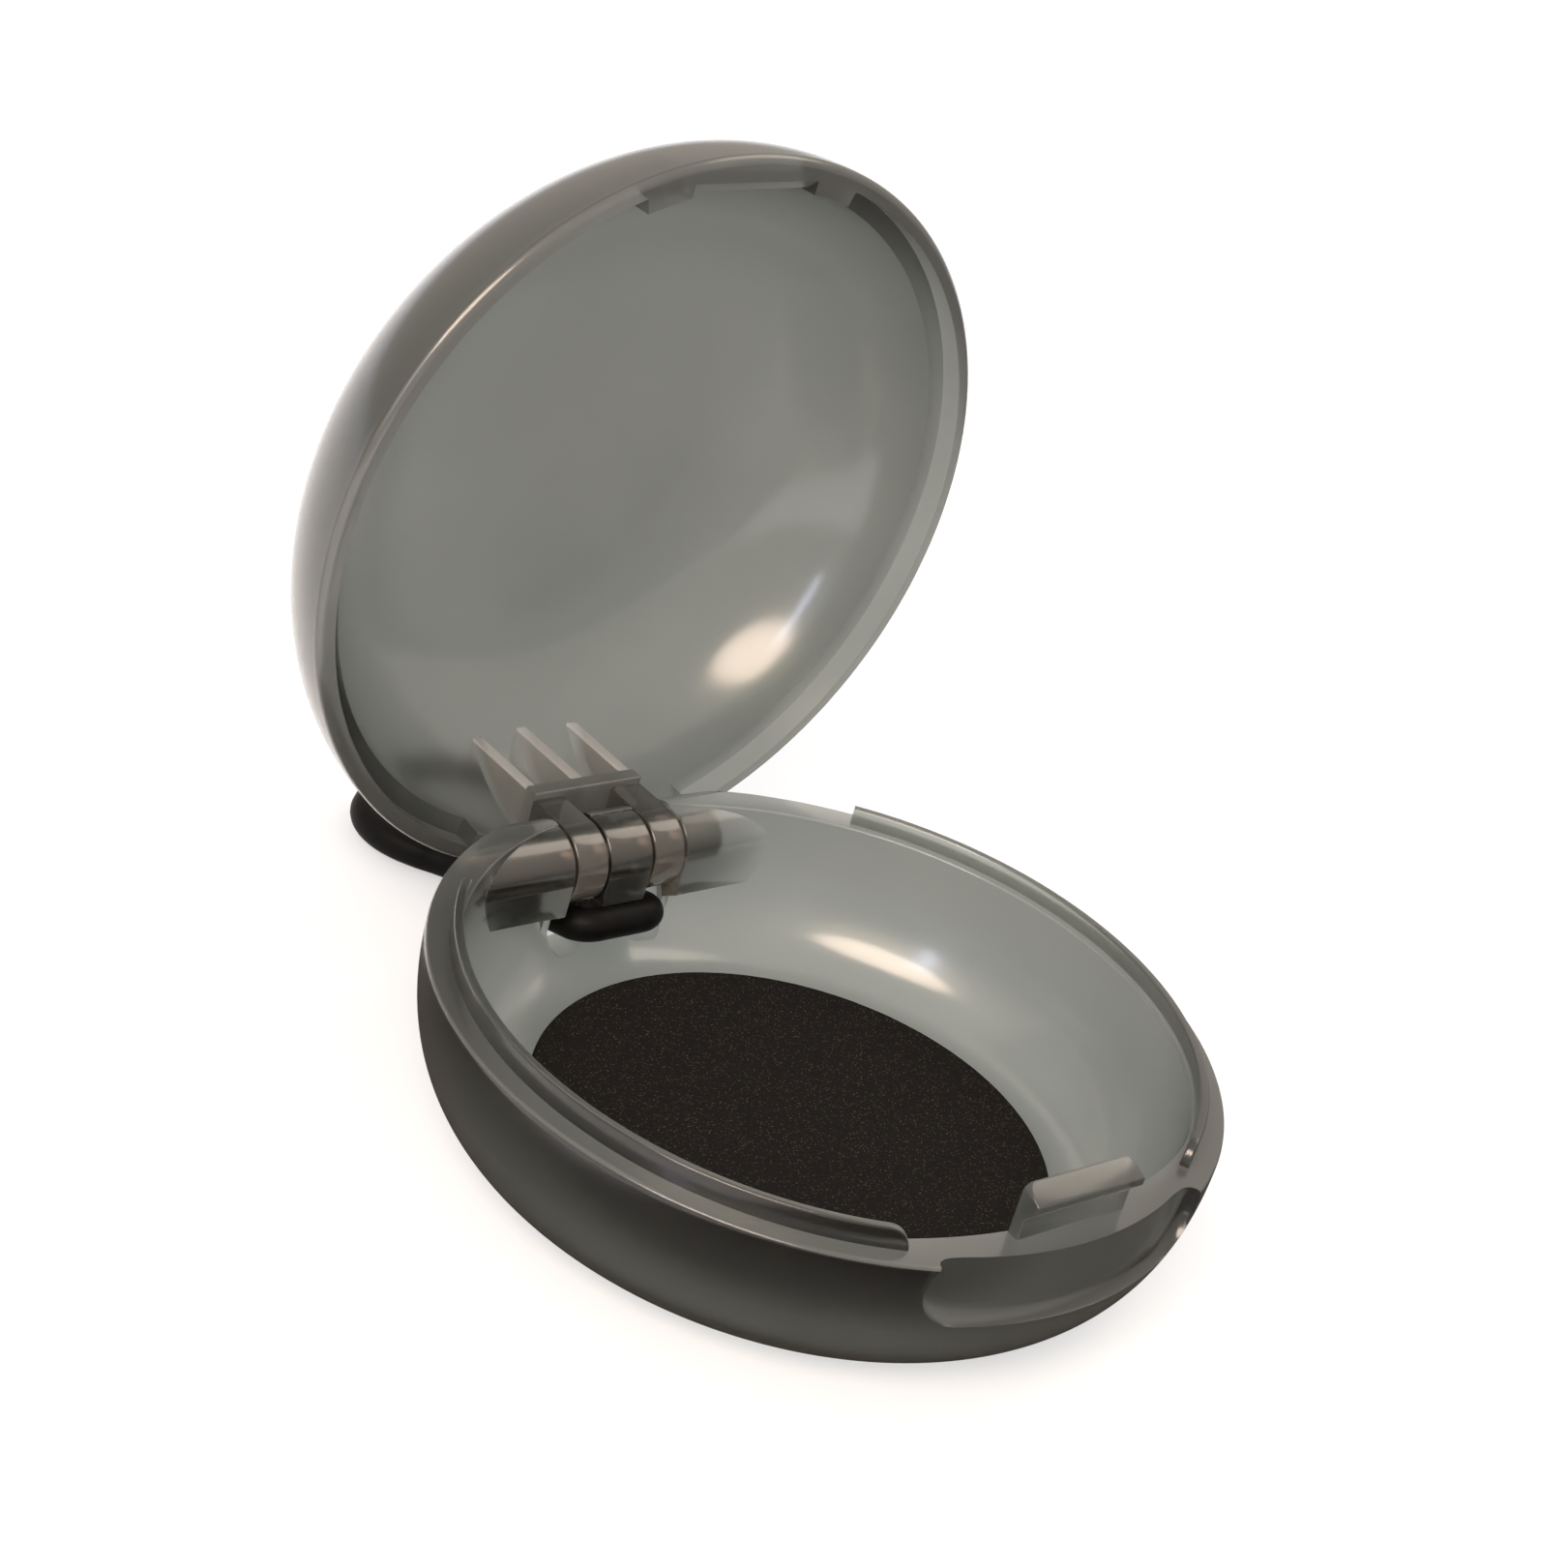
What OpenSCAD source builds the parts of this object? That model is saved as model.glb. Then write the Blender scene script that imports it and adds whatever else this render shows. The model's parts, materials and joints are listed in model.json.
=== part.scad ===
// Round pocket case for a pair of earplugs, drawn with its lid open at ninety degrees.
// The foot is centred on the origin, X runs along the hinge and Y points from the latch to the hinge.

/* [Case] */
// Outer radius of both shells at the rim
case_r = 21; // [20:0.5:24]
// Width of the rim from its outer edge to the cavity
rim_w = 1.8; // [1.6:0.1:2.2]
// Gap between the two rims when the case is shut
rim_gap = 0.15; // [0.1:0.05:0.3]

/* [Base shell] */
// Height of the base from its foot to its rim
base_h = 9.4; // [9:0.2:12]
// Radius of the flat foot
base_foot_r = 13.6; // [11:0.2:14.4]
// Squareness of the outer wall, where two is an ellipse
base_curve = 2.35; // [2.2:0.05:3]
// Thickness of the floor
floor_t = 1.3; // [0.8:0.1:1.6]

/* [Lid shell] */
// Height of the lid from its rim to its crown
lid_h = 10.15; // [9.5:0.25:13]
// Radius of the flat crown
lid_flat_r = 9.5; // [8:0.5:11]
// Squareness of the lid wall, where two is an ellipse
lid_curve = 2.05; // [2:0.05:2.6]
// Thickness of the crown
lid_t = 1.2; // [0.9:0.1:1.6]
// Rounding of the outer edge of the rim
lid_edge = 0.45; // [0.2:0.05:0.5]

/* [Closing lip] */
// Thickness of the two raised lips on the base
lip_t = 0.5; // [0.4:0.05:0.8]
// Step between the edge of the cavity and the inner face of a lip
lip_in = 0.1; // [0.05:0.05:0.2]
// Height of the lips over the rim
lip_h = 1.2; // [0.8:0.1:1.6]
// Clearance round a lip inside the rebate of the lid
lip_gap = 0.3; // [0.2:0.05:0.4]
// Angle from the latch to the front end of a lip
lip_front_a = 29; // [27:1:35]
// Angle from the latch to the back end of a lip
lip_back_a = 137; // [125:1:140]
// Angle from the latch to the front end of the rebate
rebate_a = 20; // [18:1:24]
// Angle by which the rebate runs past the back end of a lip
rebate_past_a = 6; // [3:1:8]

/* [Latch] */
// Width of the latch tab
tab_w = 7.3; // [5:0.1:8]
// Thickness of the tab
tab_t = 0.7; // [0.6:0.05:0.9]
// Height of the tab over the rim
tab_h = 2.9; // [2.6:0.1:3.4]
// Depth of the inner face of the tab behind the outer edge of the rim
tab_in = 3.1; // [2.9:0.1:3.5]
// Thickness of the tab at its crest
tab_crest = 0.15; // [0.1:0.05:0.3]
// Reach of the nose past the outer face of the tab
nose_out = 0.6; // [0.5:0.05:0.7]
// Height of the bevel from the crest to the nose
nose_bevel = 0.6; // [0.4:0.1:0.7]
// Height of the flat face of the nose
nose_flat = 0.4; // [0.2:0.1:0.5]
// Height of the sloping underside of the nose
nose_under = 0.7; // [0.5:0.1:0.8]
// Overlap of the nose and its catch when the case is shut
catch_bite = 0.25; // [0.15:0.05:0.3]
// Clearance round the tab inside the pocket of the lid
catch_gap = 0.4; // [0.3:0.05:0.6]
// Height of the catch over the foot of the underside of the nose
catch_lift = 0.1; // [0:0.05:0.15]

/* [Thumb scoop] */
// Thickness of the front wall behind the scoop, from the rim edge to the cavity
front_wall = 2.9; // [2.7:0.1:3.3]
// Radius in plan of the inner face of the front wall
front_r = 27; // [25:0.5:32]
// Width of the scoop
scoop_w = 18.6; // [14:0.2:19]
// Height of the scoop
scoop_h = 3.8; // [3.6:0.1:4.2]
// Depth of the scoop
scoop_d = 1; // [0.6:0.1:1.2]
// Corner radius of the scoop, seen from the front
scoop_corner = 3.4; // [2:0.2:3.4]
// Radius between the back of the scoop and its floor
scoop_round = 1.1; // [0.5:0.1:1.5]

/* [Hinge] */
// Outer radius of the hinge barrels
barrel_r = 2.3; // [2:0.05:2.5]
// Depth of the tops of the barrels below the rim
barrel_sink = 0.05; // [0.05:0.05:0.2]
// Diameter of the hinge pin
pin_d = 2; // [1.6:0.1:2.4]
// Running clearance round the pin in the lid
pin_gap = 0.05; // [0.02:0.01:0.1]
// Length of the pin
pin_l = 16.2; // [14:0.2:16.6]
// Reach of the pin to the right of the middle
pin_right = 7.2; // [6.5:0.1:7.5]
// Width of the middle barrel on the base
centre_w = 2.9; // [2.4:0.1:3.2]
// Width of each knuckle on the lid
knuckle_w = 2.05; // [1.8:0.05:2.3]
// Gap on each side of a knuckle
side_gap = 0.18; // [0.1:0.02:0.3]
// Depth of the flat underside of the outer barrels below the rim
block_drop = 4.4; // [4:0.1:4.8]
// Depth of the flat underside of the middle barrel below the rim
centre_drop = 4.2; // [4:0.05:4.4]
// Thickness of the cheek plates beside the cord
cheek_w = 0.5; // [0.4:0.05:0.8]
// Height of the bevel between a barrel and the plate under it
cheek_bevel = 0.7; // [0.4:0.1:1]
// Depth of the hinge slots below the rim
slot_drop = 7.3; // [7.3:0.05:7.6]
// Corner radius at the foot of a hinge slot
slot_corner = 0.8; // [0.4:0.1:1]

/* [Lid ribs] */
// Thickness of the three ribs behind the hinge
rib_w = 0.75; // [0.5:0.05:1]
// Depth of the rib crests behind the outer edge of the rim
rib_in = 4.85; // [4.7:0.05:5.2]
// Thickness of the shelf between the ribs
shelf_t = 0.9; // [0.7:0.1:1.2]
// Gap between the shelf and the rim of the base
shelf_gap = 0.3; // [0.25:0.05:0.5]
// Depth of the edge of the shelf behind the outer edge of the rim
shelf_in = 5; // [4.8:0.05:5.4]

/* [Foam pad] */
// Radius of the pad
pad_r = 14; // [12:0.2:14.2]
// Thickness of the pad
pad_t = 0.6; // [0.5:0.05:1.5]
// Thickness of the adhesive film under the pad
glue_t = 0.1; // [0.05:0.05:0.2]
// Inset of the film from the edge of the pad
glue_inset = 0.5; // [0.2:0.1:1]
// Gap between the edge of the pad and the wall at floor level
pad_gap = 0.35; // [0.2:0.05:0.6]

/* [Key cord] */
// Diameter of the cord
cord_d = 1.9; // [1.6:0.05:1.9]
// Clearance between the cord and the post that it loops round
cord_gap = 0.1; // [0.05:0.05:0.2]
// Radius of the bends at the two ends of the held stretch
cord_bend_r = 1; // [1:0.05:1.1]
// Height of the cord over the foot of the slots where it leaves them
cord_rise = 0.2; // [0.1:0.05:0.3]

/* [Hidden] */
$fn = 96;
// Opening angle at which the lid is drawn
lid_open = 90;
// Steps in the curved outline of a shell
outline_steps = 24;
// Steps in a rounded corner of a scoop or a slot
corner_steps = 8;
// Overshoot of a cut past the face that it opens
cut = 1;
// Overlap of two forms that are moulded as one, as a length and as an angle
weld = 0.4;
weld_a = 1;
// Fit of the pin in the base
pin_fit = 0.01;
cavity_r = case_r - rim_w;
well_r = pad_r + pad_gap;
rim_z = base_h;
lid_z = rim_z + rim_gap;
hinge_y = case_r - barrel_r;
hinge_z = rim_z - barrel_sink - barrel_r;
// Radius of the back corner of the base, which just clears the rim of the lid as it rolls round
roll_r = lid_z - hinge_z - rim_gap * 2 / 3;
hinge_front_y = hinge_y - barrel_r;
knuckle_x = centre_w / 2 + side_gap + knuckle_w / 2;
slot_w = knuckle_w + 2 * side_gap;
block_x = knuckle_x + slot_w / 2;
lip_in_r = cavity_r + lip_in;
lip_r = lip_in_r + lip_t;
rebate_r = lip_r + lip_gap;
rebate_h = lip_h + lip_gap - rim_gap;
rebate_back_a = lip_back_a + rebate_past_a;
tab_y = -(case_r - tab_in);
tab_face_y = tab_y - tab_t;
nose_y = tab_face_y - nose_out;
catch_y = nose_y + catch_bite;
pocket_y = nose_y - catch_gap;
pocket_w = tab_w + 2 * catch_gap;
// Heights of the nose over the rim
nose_top = tab_h - nose_bevel;
nose_low = nose_top - nose_flat;
undercut_z = nose_low - nose_under;
// Height of the catch over the rim, and of the slopes above and below it
catch_z = undercut_z + catch_lift;
catch_rise = catch_y - pocket_y;
cord_r = cord_d / 2;
cord_sides = 8;
// The held stretch lies under the middle barrel and in front of its post
bridge_y = hinge_front_y;
bridge_z = rim_z - centre_drop - cord_gap - cord_r;
bridge_x = centre_w / 2 + cord_gap + cord_r;
post_y = bridge_y + cord_r + cord_gap;
exit_z = rim_z - slot_drop + cord_rise + cord_r;
// Route of the free stretch from where it leaves the right slot to the tip of the loop
loop_half = [
    [2.5, 19.5, exit_z], [2.5, 21, 2.81], [2.5, 22.4, 2.4], [2.35, 23.9, 1.96], [2.2, 25.4, 1.55],
    [2.25, 26.9, 1.2], [2.9, 28.4, 1], [3.8, 29.5, 1], [4.5, 30.7, 1], [4.8, 32, 1],
    [4.6, 33.3, 1], [3.85, 34.4, 1], [2.7, 35.15, 1], [1.35, 35.55, 1]
];
loop_tip = [0, 35.7, 1];
loop_exit = loop_half[0];
loop_route = concat(
    loop_half,
    [loop_tip],
    [for (i = [len(loop_half) - 1 : -1 : 0]) [-loop_half[i][0], loop_half[i][1], loop_half[i][2]]]
);
leg_fall = atan2(bridge_z - loop_exit[2], loop_exit[1] - bridge_y);
leg_l = norm([loop_exit[1] - bridge_y, bridge_z - loop_exit[2]]);

// Outline of a shell as radius and distance from the rim, from the rim to the flat face
function shell_curve(rim_r, flat_r, h, squareness) = [
    for (i = [0 : outline_steps])
        let (t = 90 * i / outline_steps, power = 2 / squareness)
        [flat_r + (rim_r - flat_r) * pow(max(0, cos(t)), power), h * pow(sin(t), power)]
];

// Points of a rounded corner about its centre
function corner_arc(centre, r, from, to) = [
    for (i = [0 : corner_steps])
        let (a = from + (to - from) * i / corner_steps)
        centre + r * [cos(a), sin(a)]
];

// Outline of a slot or scoop, open at the top and with two rounded lower corners
function trough(w, top, foot, r) = concat(
    [[w / 2, top]],
    corner_arc([w / 2 - r, foot + r], r, 0, -90),
    corner_arc([-w / 2 + r, foot + r], r, 270, 180),
    [[-w / 2, top]]
);

function unit(v) = v / norm(v);

// Direction of the cord at a point of its route
function heading(i) =
    i == 0 ? [0, cos(leg_fall), -sin(leg_fall)] :
    i == len(loop_route) - 1 ? [0, -cos(leg_fall), sin(leg_fall)] :
    unit(loop_route[i + 1] - loop_route[i - 1]);

// Points of the ring of the cord round one point of its route
function cord_ring(i) =
    let (t = heading(i), side = unit(cross(t, [0, 0, 1])), up = cross(side, t))
    [for (j = [0 : cord_sides - 1])
        let (a = 360 * j / cord_sides)
        loop_route[i] + cord_r * (cos(a) * side + sin(a) * up)];

// Prism along X from an outline in Y and Z
module along_x(w) {
    rotate([90, 0, 90])
        linear_extrude(w, center = true)
            children();
}

// Prism along Y from an outline in X and Z, between two places on Y
module along_y(y0, y1) {
    translate([0, y1, 0])
        rotate([90, 0, 0])
            linear_extrude(y1 - y0)
                children();
}

// Bar along X on the hinge axis
module hinge_bar(r, x0, x1) {
    translate([x0, hinge_y, hinge_z])
        rotate([0, 90, 0])
            cylinder(r = r, h = x1 - x0);
}

// Ring sector about the Z axis, with angles measured from the latch towards +X
module sector(r0, r1, z0, z1, a0, a1) {
    rotate([0, 0, a0 - 90])
        rotate_extrude(angle = a1 - a0)
            translate([r0, z0])
                square([r1 - r0, z1 - z0]);
}

module both_sides() {
    children();
    mirror([1, 0, 0])
        children();
}

module base_outside() {
    curve = shell_curve(case_r, base_foot_r, base_h, base_curve);
    rotate_extrude()
        polygon(concat([for (p = curve) [p[0], rim_z - p[1]]], [[0, 0], [0, rim_z]]));
}

module base_cavity() {
    curve = shell_curve(cavity_r, well_r, rim_z - floor_t, base_curve);
    intersection() {
        rotate_extrude()
            polygon(concat(
                [[0, rim_z + cut], [cavity_r, rim_z + cut]],
                [for (p = curve) [p[0], rim_z - p[1]]],
                [[0, floor_t]]
            ));
        translate([0, front_r - case_r + front_wall, 0])
            cylinder(r = front_r, h = rim_z + 2 * cut);
    }
}

// Raised lip on one side, with a round front end
module lip() {
    end_a = asin(lip_h / lip_r);
    low = rim_z - weld;
    high = rim_z + lip_h;
    sector(lip_in_r, lip_r, low, high, lip_front_a + end_a, lip_back_a);
    intersection() {
        sector(lip_in_r, lip_r, low, high, lip_front_a - weld_a, lip_front_a + end_a + weld_a);
        rotate([0, 0, lip_front_a + end_a - 90])
            translate([cavity_r - cut, 0, rim_z])
                rotate([0, 90, 0])
                    cylinder(r = lip_h, h = lip_t + 2 * cut);
    }
}

module latch_tab() {
    along_x(tab_w)
        polygon([
            [tab_y, rim_z - weld], [tab_y, rim_z + tab_h], [tab_y - tab_crest, rim_z + tab_h],
            [nose_y, rim_z + nose_top], [nose_y, rim_z + nose_low], [tab_face_y, rim_z + undercut_z],
            [tab_face_y, rim_z - weld]
        ]);
}

// Cut for a thumb under the rim, with a back that follows the rim and a rounded floor
module scoop() {
    back_r = case_r - scoop_d;
    foot_z = rim_z - scoop_h;
    intersection() {
        along_y(-case_r - cut, -case_r / 2)
            polygon(trough(scoop_w, rim_z + cut, foot_z, scoop_corner));
        rotate_extrude()
            polygon(concat(
                [[back_r, rim_z + cut]],
                corner_arc([back_r + scoop_round, foot_z + scoop_round], scoop_round, 180, 270),
                [[case_r + cut, foot_z], [case_r + cut, rim_z + cut]]
            ));
    }
}

// Barrel that is round on top and square below, from the front of the hinge into the back wall
module square_barrel(x0, x1, drop) {
    hinge_bar(barrel_r, x0, x1);
    translate([x0, hinge_front_y, rim_z - drop])
        cube([x1 - x0, 2 * barrel_r, hinge_z - rim_z + drop]);
}

// Barrels, cheek plates and the post that the cord loops round
module base_hinge() {
    square_barrel(-centre_w / 2, centre_w / 2, centre_drop);
    translate([-centre_w / 2, post_y, floor_t])
        cube([centre_w, case_r - post_y, hinge_z - floor_t]);
    both_sides() {
        square_barrel(block_x, case_r / 2, block_drop);
        translate([block_x + cheek_w / 2, 0, 0])
            along_x(cheek_w)
                polygon([
                    [hinge_front_y, hinge_z], [hinge_front_y, rim_z - block_drop],
                    [post_y, rim_z - block_drop - cheek_bevel], [post_y, rim_z - slot_drop],
                    [case_r, rim_z - slot_drop], [case_r, hinge_z]
                ]);
    }
}

// Slots for the lid arms above and the cord below
module hinge_slots() {
    both_sides()
        translate([knuckle_x, 0, 0])
            along_y(bridge_y - cord_r - cut, case_r + cut)
                polygon(trough(slot_w, rim_z + cut, rim_z - slot_drop, slot_corner));
}

// Corner of the back wall beyond the barrel radius, where the rim of the lid rolls over
module hinge_roll() {
    difference() {
        translate([-case_r, hinge_y, hinge_z])
            cube([2 * case_r, case_r, case_r]);
        hinge_bar(roll_r, -case_r - cut, case_r + cut);
    }
}

module base_shell() {
    color([0.5, 0.49, 0.46])
        difference() {
            union() {
                difference() {
                    base_outside();
                    base_cavity();
                }
                intersection() {
                    base_outside();
                    base_hinge();
                }
                both_sides()
                    lip();
                latch_tab();
            }
            scoop();
            hinge_slots();
            hinge_roll();
            hinge_bar(pin_d / 2 + pin_fit, -case_r, pin_right + pin_fit);
        }
}

module lid_outside() {
    curve = shell_curve(case_r, lid_flat_r, lid_h, lid_curve);
    rotate_extrude()
        polygon(concat(
            [[0, lid_z]],
            corner_arc([case_r - lid_edge, lid_z + lid_edge], lid_edge, -90, 0),
            [for (i = [1 : outline_steps]) [curve[i][0], lid_z + curve[i][1]]],
            [[0, lid_z + lid_h]]
        ));
}

module lid_cavity() {
    curve = shell_curve(cavity_r, lid_flat_r, lid_h - lid_t, lid_curve);
    rotate_extrude()
        polygon(concat(
            [[0, lid_z - cut], [cavity_r, lid_z - cut]],
            [for (p = curve) [p[0], lid_z + p[1]]],
            [[0, lid_z + lid_h - lid_t]]
        ));
}

// Space that the latch tab snaps into, with a lead-in below the catch
module catch_pocket() {
    along_x(pocket_w)
        polygon([
            [tab_y + cut, lid_z - cut], [pocket_y, lid_z - cut], [pocket_y, lid_z],
            [catch_y, lid_z + catch_rise], [catch_y, rim_z + catch_z],
            [pocket_y, rim_z + catch_z + catch_rise], [pocket_y, rim_z + tab_h + catch_gap],
            [tab_y + cut, rim_z + tab_h + catch_gap]
        ]);
}

module catch_bead() {
    translate([-pocket_w / 2, pocket_y, lid_z])
        cube([pocket_w, catch_rise, catch_z + catch_rise - rim_gap]);
}

// Arms, ribs and shelf that carry the two knuckles of the lid
module lid_hinge() {
    both_sides() {
        hinge_bar(barrel_r, knuckle_x - knuckle_w / 2, knuckle_x + knuckle_w / 2);
        intersection() {
            translate([knuckle_x - knuckle_w / 2, hinge_front_y, hinge_z])
                cube([knuckle_w, 2 * barrel_r, rim_z + shelf_gap + shelf_t - hinge_z]);
            cylinder(r = case_r - rim_gap, h = lid_z + lid_h);
        }
    }
    intersection() {
        lid_outside();
        union() {
            both_sides()
                translate([knuckle_x + knuckle_w / 2 - rib_w, case_r - rib_in, lid_z])
                    cube([rib_w, rib_in, lid_h]);
            translate([-rib_w / 2, case_r - rib_in, rim_z + shelf_gap])
                cube([rib_w, rib_in, lid_h]);
            translate([-knuckle_x - knuckle_w / 2, case_r - shelf_in, rim_z + shelf_gap])
                cube([2 * knuckle_x + knuckle_w, shelf_in, shelf_t]);
        }
    }
}

module lid_shut() {
    difference() {
        union() {
            difference() {
                lid_outside();
                lid_cavity();
                both_sides()
                    sector(cavity_r - cut, rebate_r, lid_z - cut, lid_z + rebate_h, rebate_a, rebate_back_a);
            }
            catch_bead();
            lid_hinge();
        }
        catch_pocket();
        hinge_bar(pin_d / 2 + pin_gap, -block_x, block_x);
    }
}

module lid_shell() {
    color([0.53, 0.53, 0.5])
        translate([0, hinge_y, hinge_z])
            rotate([-lid_open, 0, 0])
                translate([0, -hinge_y, -hinge_z])
                    lid_shut();
}

module hinge_pin() {
    color([0.72, 0.71, 0.7])
        hinge_bar(pin_d / 2, pin_right - pin_l, pin_right);
}

module pad_adhesive() {
    color([0.2, 0.19, 0.18])
        translate([0, 0, floor_t])
            cylinder(r = pad_r - glue_inset, h = glue_t);
}

module foam_pad() {
    color([0.09, 0.08, 0.07])
        translate([0, 0, floor_t + glue_t])
            cylinder(r = pad_r, h = pad_t);
}

// Held stretch of the cord, which passes in front of the post and out through both slots
module cord_bridge() {
    straight = bridge_x - cord_bend_r;
    color([0.08, 0.08, 0.08])
        translate([0, bridge_y, bridge_z])
            rotate([-leg_fall, 0, 0]) {
                translate([-straight, 0, 0])
                    rotate([0, 90, 0])
                        cylinder(d = cord_d, h = 2 * straight);
                both_sides() {
                    translate([straight, cord_bend_r, 0])
                        rotate([0, 0, -90])
                            rotate_extrude(angle = 90)
                                translate([cord_bend_r, 0])
                                    circle(d = cord_d);
                    translate([bridge_x, cord_bend_r, 0])
                        rotate([-90, 0, 0])
                            cylinder(d = cord_d, h = leg_l - cord_bend_r);
                }
            }
}

// Free stretch of the cord, swept along its route
module cord_loop() {
    rings = len(loop_route);
    points = [for (i = [0 : rings - 1]) each cord_ring(i)];
    walls = [
        for (i = [0 : rings - 2])
            for (j = [0 : cord_sides - 1])
                let (
                    a = i * cord_sides + j,
                    b = i * cord_sides + (j + 1) % cord_sides
                )
                each [[a, b, b + cord_sides], [a, b + cord_sides, a + cord_sides]]
    ];
    first_end = [for (j = [cord_sides - 1 : -1 : 0]) j];
    last_end = [for (j = [0 : cord_sides - 1]) (rings - 1) * cord_sides + j];
    color([0.08, 0.08, 0.08])
        polyhedron(points, concat(walls, [first_end, last_end]));
}

base_shell();
lid_shell();
hinge_pin();
foam_pad();
pad_adhesive();
cord_bridge();
cord_loop();
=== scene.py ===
import json
import logging
import math
from dataclasses import dataclass, field
from enum import Enum
from typing import Any, Callable, NamedTuple, Optional, Sequence

import bmesh
import bpy
from mathutils import Matrix, Vector, noise


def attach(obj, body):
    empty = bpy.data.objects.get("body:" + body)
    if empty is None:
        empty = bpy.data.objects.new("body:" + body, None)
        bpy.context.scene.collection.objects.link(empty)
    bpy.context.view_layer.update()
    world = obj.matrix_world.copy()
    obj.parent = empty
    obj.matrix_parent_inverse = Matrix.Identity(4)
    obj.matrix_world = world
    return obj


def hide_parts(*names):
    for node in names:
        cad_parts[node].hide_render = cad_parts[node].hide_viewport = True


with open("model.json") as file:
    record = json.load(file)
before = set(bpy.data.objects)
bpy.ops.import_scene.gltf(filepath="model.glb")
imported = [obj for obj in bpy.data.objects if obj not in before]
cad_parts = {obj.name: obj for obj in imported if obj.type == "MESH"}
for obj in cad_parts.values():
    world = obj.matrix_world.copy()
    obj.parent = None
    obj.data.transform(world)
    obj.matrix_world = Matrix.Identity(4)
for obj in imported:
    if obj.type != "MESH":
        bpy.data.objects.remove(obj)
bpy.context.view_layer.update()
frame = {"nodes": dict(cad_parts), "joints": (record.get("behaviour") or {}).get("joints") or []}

MM = 0.001
SHARP_ANGLE = 28  # faces that meet at a larger angle than this get a rounding, in degrees
PAST = 1.0  # how far a cutter reaches past the face that it opens, in millimetres
WHITE = (1.0, 1.0, 1.0, 1.0)
LOG = logging.getLogger("earplug_case")

Outline = list[tuple[float, float]]


class Join(Enum):
    """Ways to combine two solid forms."""

    ADD = "UNION"
    CUT = "DIFFERENCE"
    KEEP = "INTERSECT"


class Axis(Enum):
    """Direction in which an outline is drawn out; the outline lies in the other two, in their order."""

    X = 0
    Y = 1
    Z = 2


def linear(hex_colour: str) -> tuple[float, float, float, float]:
    """Turns an sRGB hex colour into the linear colour that a shader takes.

    Args:
        hex_colour: Six hex digits, such as "8a8478".

    Returns:
        Red, green, blue and an alpha of one.
    """
    channels = [int(hex_colour[i:i + 2], 16) / 255 for i in (0, 2, 4)]
    red, green, blue = [c / 12.92 if c <= 0.04045 else ((c + 0.055) / 1.055) ** 2.4 for c in channels]
    return red, green, blue, 1.0


def add_node(tree: bpy.types.NodeTree, kind: str, settings: Optional[dict[str, Any]] = None,
             **inputs: Any) -> bpy.types.Node:
    """Adds a shader node with its settings, values and links.

    Args:
        tree: The node tree that the node goes into.
        kind: The node's type name.
        settings: Properties of the node itself.
        **inputs: A value, an output socket or a node, which stands for its first output, for each input.
            Names have underscores for spaces, and a name such as i0 is the input of that number.

    Returns:
        The new node.
    """
    node = tree.nodes.new(kind)
    for name, value in (settings or {}).items():
        setattr(node, name, value)
    for name, value in inputs.items():
        numbered = name[0] == "i" and name[1:].isdigit()
        socket = node.inputs[int(name[1:]) if numbered else name.replace("_", " ")]
        if isinstance(value, bpy.types.Node):
            value = value.outputs[0]
        if isinstance(value, bpy.types.NodeSocket):
            tree.links.new(value, socket)
        else:
            socket.default_value = value
    return node


def new_material(name: str) -> bpy.types.Material:
    """Makes a material with an empty node tree.

    Args:
        name: The material's name.

    Returns:
        The material.
    """
    material = bpy.data.materials.new(name)
    material.use_nodes = True
    material.node_tree.nodes.clear()
    return material


def new_object(name: str, data: bpy.types.ID) -> bpy.types.Object:
    """Puts an object with the given data into the scene.

    Args:
        name: The object's name.
        data: Its mesh, curve, light or camera.

    Returns:
        The object.
    """
    thing = bpy.data.objects.new(name, data)
    bpy.context.scene.collection.objects.link(thing)
    return thing


def round_edges(form: bmesh.types.BMesh, edge: float) -> None:
    """Rounds the sharp edges of a form.

    Args:
        form: The form.
        edge: Radius, in millimetres.
    """
    sharp = [e for e in form.edges if e.calc_face_angle(0) > math.radians(SHARP_ANGLE)]
    bmesh.ops.bevel(form, geom=sharp, offset=edge, segments=3, profile=0.5, affect="EDGES",
                    clamp_overlap=True)


def solid(name: str, points: Sequence[Sequence[float]], faces: Sequence[Sequence[int]],
          edge: float = 0.0) -> bpy.types.Object:
    """Makes a closed form from points and faces.

    Args:
        name: The object's name.
        points: Its corners, in millimetres.
        faces: The corner numbers of each face.
        edge: Rounding of its sharp edges, in millimetres.

    Returns:
        The object, still in millimetres.
    """
    mesh = bpy.data.meshes.new(name)
    mesh.from_pydata([tuple(p) for p in points], [], [tuple(f) for f in faces])
    form = bmesh.new()
    form.from_mesh(mesh)
    bmesh.ops.recalc_face_normals(form, faces=form.faces)
    if edge:
        round_edges(form, edge)
    form.to_mesh(mesh)
    form.free()
    return new_object(name, mesh)


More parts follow.
